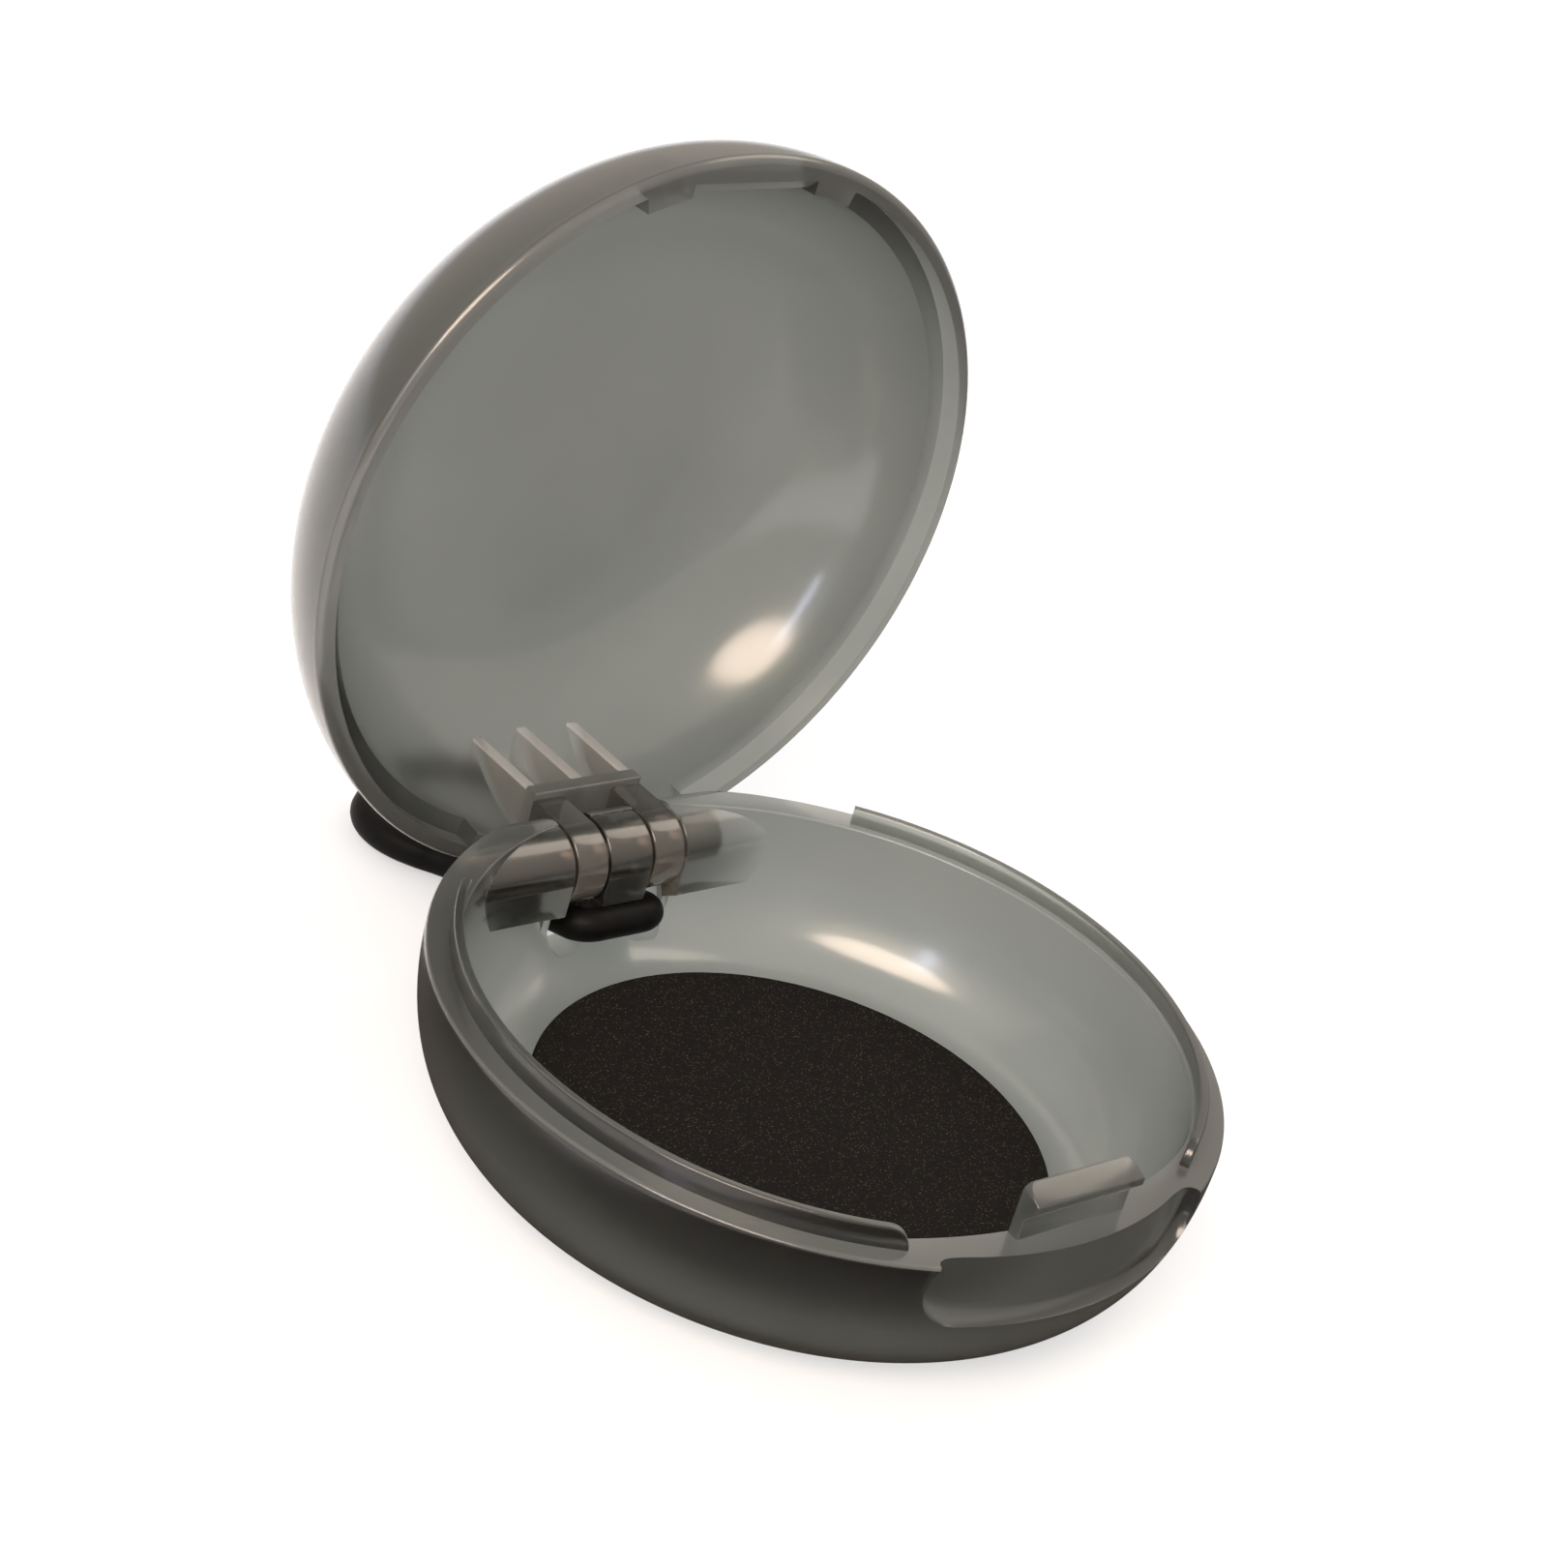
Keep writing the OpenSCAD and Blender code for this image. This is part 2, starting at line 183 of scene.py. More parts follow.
def loft(name: str, rings: Sequence[Sequence[Sequence[float]]], edge: float = 0.0) -> bpy.types.Object:
    """Makes a closed form by joining rings of equal length and closing both ends.

    Args:
        name: The object's name.
        rings: The rings of points in order; a ring of one point is a pole.
        edge: Rounding of its sharp edges, in millimetres.

    Returns:
        The object.
    """
    points: list[Sequence[float]] = []
    starts = []
    for ring in rings:
        starts.append(len(points))
        points.extend(ring)
    faces: list[tuple[int, ...]] = []
    for ring, after, a, b in zip(rings, rings[1:], starts, starts[1:]):
        count = max(len(ring), len(after))
        for i in range(count):
            j = (i + 1) % count
            if len(ring) == 1:
                faces.append((a, b + i, b + j))
            elif len(after) == 1:
                faces.append((a + i, b, a + j))
            else:
                faces.append((a + i, b + i, b + j, a + j))
    if len(rings[0]) > 1:
        faces.append(tuple(range(len(rings[0]))))
    if len(rings[-1]) > 1:
        faces.append(tuple(starts[-1] + i for i in range(len(rings[-1]))))
    return solid(name, points, faces, edge)


def prism(name: str, outline: Outline, low: float, high: float, axis: Axis,
          edge: float = 0.0) -> bpy.types.Object:
    """Draws an outline out along an axis.

    Args:
        name: The object's name.
        outline: Corners in the other two directions.
        low: Where it starts along the axis.
        high: Where it ends along the axis.
        axis: The direction.
        edge: Rounding of its edges.

    Returns:
        The object.
    """
    def place(corner: tuple[float, float], along: float) -> list[float]:
        """Puts the third coordinate in."""
        return [*corner[:axis.value], along, *corner[axis.value:]]

    return loft(name, [[place(c, along) for c in outline] for along in (low, high)], edge)


def box(name: str, low: Sequence[float], high: Sequence[float], edge: float = 0.0) -> bpy.types.Object:
    """Makes a block between two corners."""
    outline = [(low[0], low[1]), (high[0], low[1]), (high[0], high[1]), (low[0], high[1])]
    return prism(name, outline, low[2], high[2], Axis.Z, edge)


def combine(form: bpy.types.Object, tools: Sequence[bpy.types.Object], how: Join) -> bpy.types.Object:
    """Combines a form with others, which are used up.

    Args:
        form: The form that is changed.
        tools: The forms that are added, cut away or kept.
        how: The way to combine them.

    Returns:
        The changed form.
    """
    for tool in tools:
        step = form.modifiers.new("step", "BOOLEAN")
        step.operation = how.value
        step.solver = "MANIFOLD"
        step.object = tool
        graph = bpy.context.evaluated_depsgraph_get()
        result = bpy.data.meshes.new_from_object(form.evaluated_get(graph))
        form.modifiers.clear()
        form.data = result
        bpy.data.objects.remove(tool)
    return form


def soften(form: bpy.types.Object, edge: float) -> bpy.types.Object:
    """Rounds the sharp edges of a form that was combined from others.

    Args:
        form: The form.
        edge: Radius, in millimetres.

    Returns:
        The same form.
    """
    merge, flat = 0.002, math.radians(1)
    work = bmesh.new()
    work.from_mesh(form.data)
    bmesh.ops.remove_doubles(work, verts=work.verts, dist=merge)
    bmesh.ops.dissolve_limit(work, angle_limit=flat, verts=work.verts, edges=work.edges)
    round_edges(work, edge)
    work.to_mesh(form.data)
    work.free()
    return form


def arc(centre: tuple[float, float], radius: float, start: float, end: float, steps: int = 8) -> Outline:
    """Gives the points of an arc.

    Args:
        centre: Its centre.
        radius: Its radius.
        start: Angle of its first point, in degrees.
        end: Angle of its last point, in degrees.
        steps: Number of steps.

    Returns:
        The points in order.
    """
    turns = [math.radians(start + (end - start) * i / steps) for i in range(steps + 1)]
    return [(centre[0] + radius * math.cos(t), centre[1] + radius * math.sin(t)) for t in turns]


def turn_into_metres(form: bpy.types.Object, name: str, smooth_angle: float = 32) -> bpy.types.Object:
    """Scales a finished form to metres and smooths its shading.

    Args:
        form: The form, in millimetres.
        name: The name of the finished piece.
        smooth_angle: Faces that meet at a smaller angle than this are shaded as one, in degrees.

    Returns:
        The piece.
    """
    form.name = name
    mesh = form.data
    mesh.name = name
    mesh.transform(Matrix.Scale(MM, 4))
    mesh.polygons.foreach_set("use_smooth", [True] * len(mesh.polygons))
    mesh.set_sharp_from_angle(angle=math.radians(smooth_angle))
    return form


def dress(piece: bpy.types.Object, material: bpy.types.Material) -> None:
    """Gives a piece its material."""
    piece.data.materials.clear()
    piece.data.materials.append(material)


def in_object(tree: bpy.types.NodeTree, *cell: float) -> bpy.types.Node:
    """Adds coordinates that are fixed to the piece.

    Args:
        tree: The node tree.
        *cell: Length of a cell of the pattern along X, Y and Z, in millimetres.

    Returns:
        The node that gives the coordinates.
    """
    place = add_node(tree, "ShaderNodeTexCoord")
    return add_node(tree, "ShaderNodeMapping", i0=place.outputs["Object"],
                    Scale=[1 / (length * MM) for length in cell])


class Shares(NamedTuple):
    """How a face of a shell is finished; each share is stored on the face under its own name.

    "matt" is how much the skin scatters, as the rims and thin ribs do; on the rib edges and on the lower
    front of the knuckles it is a painted highlight. "core" marks the polished solid parts round the pin,
    through which the pin shows. "deep" marks the outside of the wall and of the lips, which get a painted
    shade, darker towards the rim.
    """

    # matt carries real scatter and also painted highlights on the knuckles and the rib edges
    matt_and_highlight: float = 0.0
    core: float = 0.0
    # deep is a painted shade, not a depth: it darkens the outside of the base wall and of the lips
    deep: float = 0.0


@dataclass(frozen=True)
class SmokedPolycarbonate:
    """Clear polycarbonate with a smoke dye, injection moulded in a polished tool.

    The dye takes some light at the skin and the rest by depth, so thin walls look pale and rims dark.
    Melt flow leaves soft waves some millimetres long in the tint and in the polish. Light goes through a
    thin wall nearly straight, so the wall bends it less than the solid parts and the gloss do. A rubbed
    skin scatters, and from a matt share of fully_pale on it is as pale as it gets; the same pale share is a
    painted highlight where a shell puts it. The deep share is a painted shade: a dark tint on faces seen
    from outside, fading in from painted_shade_low up to painted_shade_high.
    """

    name: str
    skin: str = "a1a49d"
    # worn_and_highlight_skin is the pale tint of rubbed skin and also of the painted highlights
    skin_flow: str = "9da099"
    worn_and_highlight_skin: str = "eceae6"
    fully_pale: float = 0.5
    core_skin: str = "958d82"
    # painted shade: a dark tint on faces seen from outside, faded in between painted_shade_low and
    # painted_shade_high in height
    painted_shade_skin: str = "3a3632"
    painted_shade_low: float = 5.0
    painted_shade_high: float = 9.3
    dye: str = "2c2f2b"
    dye_depth: float = 2.8
    clearness: float = 0.965
    pale_clearness: float = 0.45
    roughness: float = 0.34
    roughness_swing: float = 0.1
    core_roughness: float = 0.16
    bend_ior: float = 1.2
    core_ior: float = 1.45
    gloss_ior: float = 1.585
    gloss_roughness: float = 0.17
    flow_length: float = 7.0
    tint_wave: tuple[float, float] = (0.35, 0.65)
    polish_wave: tuple[float, float] = (0.3, 0.7)

    def build(self) -> bpy.types.Material:
        """Makes the material, which light can also pass through on its way to the inside.

        Returns:
            The material.
        """
        material = new_material(self.name)
        tree = material.node_tree
        flow = add_node(tree, "ShaderNodeTexNoise", Vector=in_object(tree, *[self.flow_length] * 3),
                        Scale=1.0, Detail=2.0)
        matt_and_highlight, core, deep = [add_node(tree, "ShaderNodeAttribute", {"attribute_name": name}).outputs["Fac"]
                            for name in Shares._fields]
        wave = add_node(tree, "ShaderNodeMapRange", i0=flow, i1=self.tint_wave[0], i2=self.tint_wave[1])
        pale = add_node(tree, "ShaderNodeMapRange", i0=matt_and_highlight, i2=self.fully_pale)
        # painted shade: the deep share is faded in with height and kept to faces seen from outside, then
        # mixes in painted_shade_skin
        height = add_node(tree, "ShaderNodeSeparateXYZ",
                          i0=add_node(tree, "ShaderNodeTexCoord").outputs["Object"]).outputs["Z"]
        fade = add_node(tree, "ShaderNodeMapRange", i0=height, i1=self.painted_shade_low * MM, i2=self.painted_shade_high * MM)
        outside = add_node(tree, "ShaderNodeMapRange",
                           i0=add_node(tree, "ShaderNodeNewGeometry").outputs["Backfacing"], i3=1.0, i4=0.0)
        for factor in (fade, outside):
            deep = add_node(tree, "ShaderNodeMath", {"operation": "MULTIPLY"}, i0=deep, i1=factor)
        tint = linear(self.skin)
        for share, colour in ((wave, self.skin_flow), (pale, self.worn_and_highlight_skin), (core, self.core_skin),
                              (deep, self.painted_shade_skin)):
            tint = add_node(tree, "ShaderNodeMix", {"data_type": "RGBA"}, i0=share, i6=tint,
                            i7=linear(colour)).outputs[2]
        polish = add_node(tree, "ShaderNodeMapRange", i0=flow, i1=self.polish_wave[0], i2=self.polish_wave[1],
                          i3=self.roughness * (1 - self.roughness_swing),
                          i4=self.roughness * (1 + self.roughness_swing))
        polish = add_node(tree, "ShaderNodeMix", i0=core, i2=polish, i3=self.core_roughness)
        bend = add_node(tree, "ShaderNodeMapRange", i0=core, i3=self.bend_ior, i4=self.core_ior)
        clear = add_node(tree, "ShaderNodeMapRange", i0=matt_and_highlight, i3=self.clearness, i4=self.pale_clearness)
        surface = add_node(tree, "ShaderNodeBsdfPrincipled", Base_Color=tint, Roughness=polish, IOR=bend,
                           Transmission_Weight=clear, Coat_Weight=1.0, Coat_IOR=self.gloss_ior,
                           Coat_Roughness=self.gloss_roughness)
        passing = add_node(tree, "ShaderNodeBsdfTransparent", Color=tint)
        path = add_node(tree, "ShaderNodeLightPath")
        mix = add_node(tree, "ShaderNodeMixShader", i0=path.outputs["Is Shadow Ray"], i1=surface, i2=passing)
        depth = add_node(tree, "ShaderNodeVolumeAbsorption", Color=linear(self.dye),
                         Density=1 / (self.dye_depth * MM))
        add_node(tree, "ShaderNodeOutputMaterial", Surface=mix, Volume=depth)
        return material


@dataclass(frozen=True)
class GroundSteel:
    """Centreless ground steel rod: bright, with fine rings that draw highlights out along it.

    Real grinding rings lie about 0.02 mm apart. They are drawn 0.06 mm apart, so that they show.
    """

    name: str = "ground_steel"
    colour: str = "c3bbb0"
    groove_colour: str = "8f857a"
    roughness: float = 0.27
    anisotropy: float = 0.75
    ring_pitch: float = 0.06
    ring_stretch: float = 60.0
    ring_depth: float = 0.002

    def build(self) -> bpy.types.Material:
        """Makes the material.

        Returns:
            The material.
        """
        material = new_material(self.name)
        tree = material.node_tree
        across = self.ring_pitch * self.ring_stretch
        rings = add_node(tree, "ShaderNodeTexNoise", Vector=in_object(tree, self.ring_pitch, across, across),
                         Scale=1.0, Detail=3.0)
        shade = add_node(tree, "ShaderNodeMix", {"data_type": "RGBA"}, i0=rings,
                         i6=linear(self.groove_colour), i7=linear(self.colour))
        bump = add_node(tree, "ShaderNodeBump", Height=rings, Distance=self.ring_depth * MM, Strength=1.0)
        around = add_node(tree, "ShaderNodeTangent", {"direction_type": "RADIAL", "axis": "X"})
        surface = add_node(tree, "ShaderNodeBsdfPrincipled", Base_Color=shade.outputs[2], Metallic=1.0,
                           Roughness=self.roughness, Anisotropic=self.anisotropy, Normal=bump, Tangent=around)
        add_node(tree, "ShaderNodeOutputMaterial", Surface=surface)
        return material


@dataclass(frozen=True)
class OpenFoam:
    """Near-black foam with cut cells, of which some catch the light as dim grey-brown specks.

    The cut edges of real cells are about 0.06 mm wide. A cell is drawn 0.11 mm wide, so that it shows.
    """

    name: str = "black_foam"
    ground: str = "0b0a09"
    cell_colour: str = "161311"
    speck_colour: str = "6c665f"
    cell: float = 0.11
    speck_share: float = 0.5
    speck_edge: tuple[float, float] = (0.1, 0.35)
    grain_scale: float = 0.8
    cell_depth: float = 0.05
    bump: float = 0.7
    roughness: float = 0.85
    shine: float = 0.12

    def build(self) -> bpy.types.Material:
        """Makes the material.

        Returns:
            The material.
        """
        material = new_material(self.name)
        tree = material.node_tree
        place = in_object(tree, *[self.cell] * 3)
        grain = add_node(tree, "ShaderNodeTexNoise", Vector=place, Scale=self.grain_scale, Detail=2.0)
        dots = add_node(tree, "ShaderNodeTexVoronoi", Vector=place, Scale=1.0)
        pick = add_node(tree, "ShaderNodeSeparateColor", i0=dots.outputs["Color"])
        chosen = add_node(tree, "ShaderNodeMapRange", i0=pick, i1=1 - self.speck_share)
        inside = add_node(tree, "ShaderNodeMapRange", i0=dots.outputs["Distance"], i1=self.speck_edge[0],
                          i2=self.speck_edge[1], i3=1.0, i4=0.0)
        speck = add_node(tree, "ShaderNodeMath", {"operation": "MULTIPLY"}, i0=chosen, i1=inside)
        colour = linear(self.ground)
        for share, shade in ((grain, self.cell_colour), (speck, self.speck_colour)):
            colour = add_node(tree, "ShaderNodeMix", {"data_type": "RGBA"}, i0=share, i6=colour,
                              i7=linear(shade)).outputs[2]
        bump = add_node(tree, "ShaderNodeBump", Height=grain, Distance=self.cell_depth * MM,
                        Strength=self.bump)
        surface = add_node(tree, "ShaderNodeBsdfPrincipled", Base_Color=colour, Roughness=self.roughness,
                           Specular_IOR_Level=self.shine, Normal=bump)
        add_node(tree, "ShaderNodeOutputMaterial", Surface=surface)
        return material


@dataclass(frozen=True)
class CordRubber:
    """Black extruded rubber cord with a satin skin that shows faint scuffs."""

    name: str = "cord_rubber"
    colour: str = "070707"
    scuff: str = "121111"
    roughness: float = 0.5
    shine: float = 0.1
    scuff_length: float = 0.8
    skin_depth: float = 0.004
    bump: float = 0.6

    def build(self) -> bpy.types.Material:
        """Makes the material.

        Returns:
            The material.
        """
        material = new_material(self.name)
        tree = material.node_tree
        scuffs = add_node(tree, "ShaderNodeTexNoise", Vector=in_object(tree, *[self.scuff_length] * 3),
                          Scale=1.0, Detail=4.0)
        shade = add_node(tree, "ShaderNodeMix", {"data_type": "RGBA"}, i0=scuffs, i6=linear(self.colour),
                         i7=linear(self.scuff))
        bump = add_node(tree, "ShaderNodeBump", Height=scuffs, Distance=self.skin_depth * MM,
                        Strength=self.bump)
        surface = add_node(tree, "ShaderNodeBsdfPrincipled", Base_Color=shade.outputs[2],
                           Roughness=self.roughness, Specular_IOR_Level=self.shine, Normal=bump)
        add_node(tree, "ShaderNodeOutputMaterial", Surface=surface)
        return material


@dataclass(frozen=True)
class AdhesiveFilm:
    """Dark double-sided film, dull, with small trapped bubbles seen as paler spots."""

    name: str = "adhesive_film"
    colour: str = "1d1c1b"
    bubble: str = "34322f"
    roughness: float = 0.6
    bubble_size: float = 1.4
    bubble_edge: tuple[float, float] = (0.08, 0.3)

    def build(self) -> bpy.types.Material:
        """Makes the material.

        Returns:
            The material.
        """
        material = new_material(self.name)
        tree = material.node_tree
        bubbles = add_node(tree, "ShaderNodeTexVoronoi", Vector=in_object(tree, *[self.bubble_size] * 3),
                           Scale=1.0)
        share = add_node(tree, "ShaderNodeMapRange", i0=bubbles.outputs["Distance"], i1=self.bubble_edge[0],
                         i2=self.bubble_edge[1], i3=1.0, i4=0.0)
        shade = add_node(tree, "ShaderNodeMix", {"data_type": "RGBA"}, i0=share, i6=linear(self.colour),
                         i7=linear(self.bubble))
        surface = add_node(tree, "ShaderNodeBsdfPrincipled", Base_Color=shade.outputs[2],
                           Roughness=self.roughness)
        add_node(tree, "ShaderNodeOutputMaterial", Surface=surface)
        return material


@dataclass(frozen=True)
class DarkReflectionSheet:
    """Dull dark sheet for the flag, which only shows in gloss: a painted dark reflection in place of the
    floor's.
    """

    name: str = "painted_dark_reflection"
    colour: str = "4a4642"

    def build(self) -> bpy.types.Material:
        """Makes the material.

        Returns:
            The material.
        """
        material = new_material(self.name)
        surface = add_node(material.node_tree, "ShaderNodeBsdfDiffuse", Color=linear(self.colour))
        add_node(material.node_tree, "ShaderNodeOutputMaterial", Surface=surface)
        return material


@dataclass(frozen=True)
class WhiteCard:
    """Matt white card that looks white to the eye and through the plastic, and still takes a shadow."""

    name: str = "white_card"
    colour: str = "fafafa"
    seen_glow: float = 0.5
    through_glow: float = 0.65
    mirrored_glow: float = 0.1

    def build(self) -> bpy.types.Material:
        """Makes the material.

        Returns:
            The material.
        """
        material = new_material(self.name)
        tree = material.node_tree
        path = add_node(tree, "ShaderNodeLightPath")
        seen, through, mirrored = [
            add_node(tree, "ShaderNodeMapRange", i0=path.outputs[ray], i4=glow)
            for ray, glow in (("Is Camera Ray", self.seen_glow), ("Is Transmission Ray", self.through_glow),
                              ("Is Glossy Ray", self.mirrored_glow))]
        share = seen
        for other in (through, mirrored):
            share = add_node(tree, "ShaderNodeMath", {"operation": "MAXIMUM"}, i0=share, i1=other)
        card = add_node(tree, "ShaderNodeBsdfDiffuse", Color=linear(self.colour))
        glow = add_node(tree, "ShaderNodeEmission", Color=WHITE, Strength=1.0)
        mix = add_node(tree, "ShaderNodeMixShader", i0=share, i1=card, i2=glow)
        add_node(tree, "ShaderNodeOutputMaterial", Surface=mix)
        return material


class LampShape(Enum):
    """Outlines of a flat lamp."""

    ROUND = "ELLIPSE"
    SQUARE = "RECTANGLE"


@dataclass(frozen=True)
class Lamp:
    """A flat lamp that faces the case, with angles in degrees and lengths in metres.

    The azimuth runs from +Y towards +X. The radiance says how bright it looks, where white is one.
    """

    name: str
    azimuth: float
    elevation: float
    width: float
    height: float
    radiance: float
    colour: str
    shape: LampShape
    distance: float = 0.6
    target: tuple[float, float, float] = (0.0, 0.01, 0.02)

    def hang(self) -> None:
        """Puts the lamp into the scene."""
        data = bpy.data.lights.new(self.name, "AREA")
        data.shape = self.shape.value
        data.size = self.width
        data.size_y = self.height
        data.energy = self.radiance * math.pi * self.width * self.height
        data.color = linear(self.colour)[:3]
        lamp = new_object(self.name, data)
        az, el = math.radians(self.azimuth), math.radians(self.elevation)
        way = Vector((math.sin(az) * math.cos(el), math.cos(az) * math.cos(el), math.sin(el)))
        lamp.location = Vector(self.target) + way * self.distance
        lamp.rotation_euler = way.to_track_quat("Z", "Y").to_euler()


@dataclass
class Studio:
    """Camera, floor, surroundings and lamps."""

    camera_place: tuple[float, float, float] = (-121.0, -103.9, 105.3)
    camera_right: tuple[float, float, float] = (0.74882, -0.610196, 0.258707)
    camera_up: tuple[float, float, float] = (0.130353, 0.51831, 0.8452)
    camera_clip: tuple[float, float] = (0.01, 10.0)
    lens: float = 83.75
    sensor: float = 36.0
    low_wall: str = "bcb1a6"
    high_wall: str = "fff4e8"
    wall_height: tuple[float, float] = (-0.05, 0.6)
    soft_light: str = "f2f4f8"
    floor_half: float = 1.5
    floor_z: float = -0.05
    # the flag is a painted dark reflection: a dark sheet that only reflections see
    flag_half: float = 0.2
    flag_place: tuple[float, float] = (0.168, -0.175)
    flag_z: float = -0.02
    lamps: tuple[Lamp, ...] = (
        Lamp("warm_softbox", -118, 43, 0.44, 0.26, 9, "ffe6d0", LampShape.ROUND),
        Lamp("cool_strip", -106, 26, 0.05, 0.25, 10, "dfe4ff", LampShape.SQUARE),
        Lamp("fill_panel", 92, 50, 0.34, 0.34, 1.8, "fff0df", LampShape.ROUND),
    )

    def build(self) -> None:
        """Sets the studio up."""
        bpy.context.scene.view_settings.view_transform = "Standard"
        self.place_camera()
        self.hang_room()
        self.lay_floor()
        for lamp in self.lamps:
            lamp.hang()

    def place_camera(self) -> None:
        """Puts the camera where the photograph was taken from."""
        data = bpy.data.cameras.new("studio_camera")
        data.lens = self.lens
        data.sensor_width = self.sensor
        data.clip_start, data.clip_end = self.camera_clip
        camera = new_object("studio_camera", data)
        right = Vector(self.camera_right).normalized()
        up = Vector(self.camera_up)
        up = (up - up.dot(right) * right).normalized()
        turn = Matrix((right, up, right.cross(up))).transposed().to_4x4()
        camera.matrix_world = Matrix.Translation(Vector(self.camera_place) * MM) @ turn
        bpy.context.scene.camera = camera

    def hang_room(self) -> None:
        """Makes the world: warm walls in gloss, soft light, and white where the eye sees through to it."""
        world = bpy.data.worlds.new("studio")
        bpy.context.scene.world = world
        world.use_nodes = True
        tree = world.node_tree
        tree.nodes.clear()
        way = add_node(tree, "ShaderNodeTexCoord")
        up = add_node(tree, "ShaderNodeSeparateXYZ", i0=way.outputs["Generated"])
        height = add_node(tree, "ShaderNodeMapRange", i0=up.outputs["Z"], i1=self.wall_height[0],
                          i2=self.wall_height[1])
        shade = add_node(tree, "ShaderNodeMix", {"data_type": "RGBA"}, i0=height, i6=linear(self.low_wall),
                         i7=linear(self.high_wall))
        walls, soft, white = [add_node(tree, "ShaderNodeBackground", Color=colour, Strength=1.0)
                              for colour in (shade.outputs[2], linear(self.soft_light), WHITE)]
        path = add_node(tree, "ShaderNodeLightPath")
        room = add_node(tree, "ShaderNodeMixShader", i0=path.outputs["Is Glossy Ray"], i1=soft, i2=walls)
        seen = add_node(tree, "ShaderNodeMath", {"operation": "MAXIMUM"}, i0=path.outputs["Is Camera Ray"],
                        i1=path.outputs["Is Transmission Ray"])
        mix = add_node(tree, "ShaderNodeMixShader", i0=seen, i1=room, i2=white)
        add_node(tree, "ShaderNodeOutputWorld", Surface=mix)

    def lay_floor(self) -> None:
        """Lays the white floor, and the dark flag that only gloss shows, which paints a dark reflection."""
        floor = self.sheet("floor", self.floor_half, self.floor_z)
        dress(floor, WhiteCard().build())
        # painted dark reflection: the flag is hidden from all rays but gloss
        flag = self.sheet("dark_reflection_flag", self.flag_half, self.flag_z)
        flag.location.x, flag.location.y = self.flag_place
        flag.visible_camera = flag.visible_diffuse = flag.visible_transmission = False
        flag.visible_shadow = flag.visible_volume_scatter = False
        dress(flag, DarkReflectionSheet().build())

    def sheet(self, name: str, half: float, height: float) -> bpy.types.Object:
        """Lays a square sheet under the case.

        Args:
            name: The sheet's name.
            half: Half its side, in metres.
            height: Its height, in millimetres.

        Returns:
            The sheet.
        """
        mesh = bpy.data.meshes.new(name)
        mesh.from_pydata([(-half, -half, 0), (half, -half, 0), (half, half, 0), (-half, half, 0)], [],
                         [(0, 1, 2, 3)])
        sheet = new_object(name, mesh)
        sheet.location.z = height * MM
        return sheet


@dataclass
class Hinge:
    """Sizes of the hinge, in millimetres, and its axis, which the frame gives."""

    axis_y: float = frame["joints"][0]["pos_m"][1] / MM
    axis_z: float = frame["joints"][0]["pos_m"][2] / MM
    barrel_r: float = 2.3
    pin_r: float = 1.0
    pin_low: float = -9.0
    pin_high: float = 7.2
    pin_gap: float = 0.05
    centre_w: float = 2.9
    knuckle_w: float = 2.05
    side_gap: float = 0.18
    segments: int = 96

    @property
    def front_y(self) -> float:
        """Front of the barrels."""
        return self.axis_y - self.barrel_r

    @property
    def knuckle_x(self) -> float:
        """Middle of a knuckle."""
        return self.centre_w / 2 + self.side_gap + self.knuckle_w / 2

    @property
    def slot_w(self) -> float:
        """Width of the slot that a knuckle turns in."""
        return self.knuckle_w + 2 * self.side_gap

    @property
    def block_x(self) -> float:
        """Inner face of an outer barrel."""
        return self.knuckle_x + self.slot_w / 2

    @property
    def knuckle_reach(self) -> float:
        """Outer face of a knuckle."""
        return self.knuckle_x + self.knuckle_w / 2

    def bar(self, name: str, radius: float, low: float, high: float, edge: float = 0.0) -> bpy.types.Object:
        """Makes a bar on the hinge axis with rounded ends.

        Args:
            name: The object's name.
            radius: Its radius.
            low: Its left end.
            high: Its right end.
            edge: Rounding of its ends.

        Returns:
            The object.
        """
        profile = [(low, radius), (high, radius)]
        if edge:
            profile = arc((low + edge, radius - edge), edge, 180, 90, steps=4)
            profile += arc((high - edge, radius - edge), edge, 90, 0, steps=4)
        turns = [math.tau * i / self.segments for i in range(self.segments)]
        rings = [[(x, self.axis_y + r * math.cos(t), self.axis_z + r * math.sin(t)) for t in turns]
                 for x, r in profile]
        return loft(name, rings)


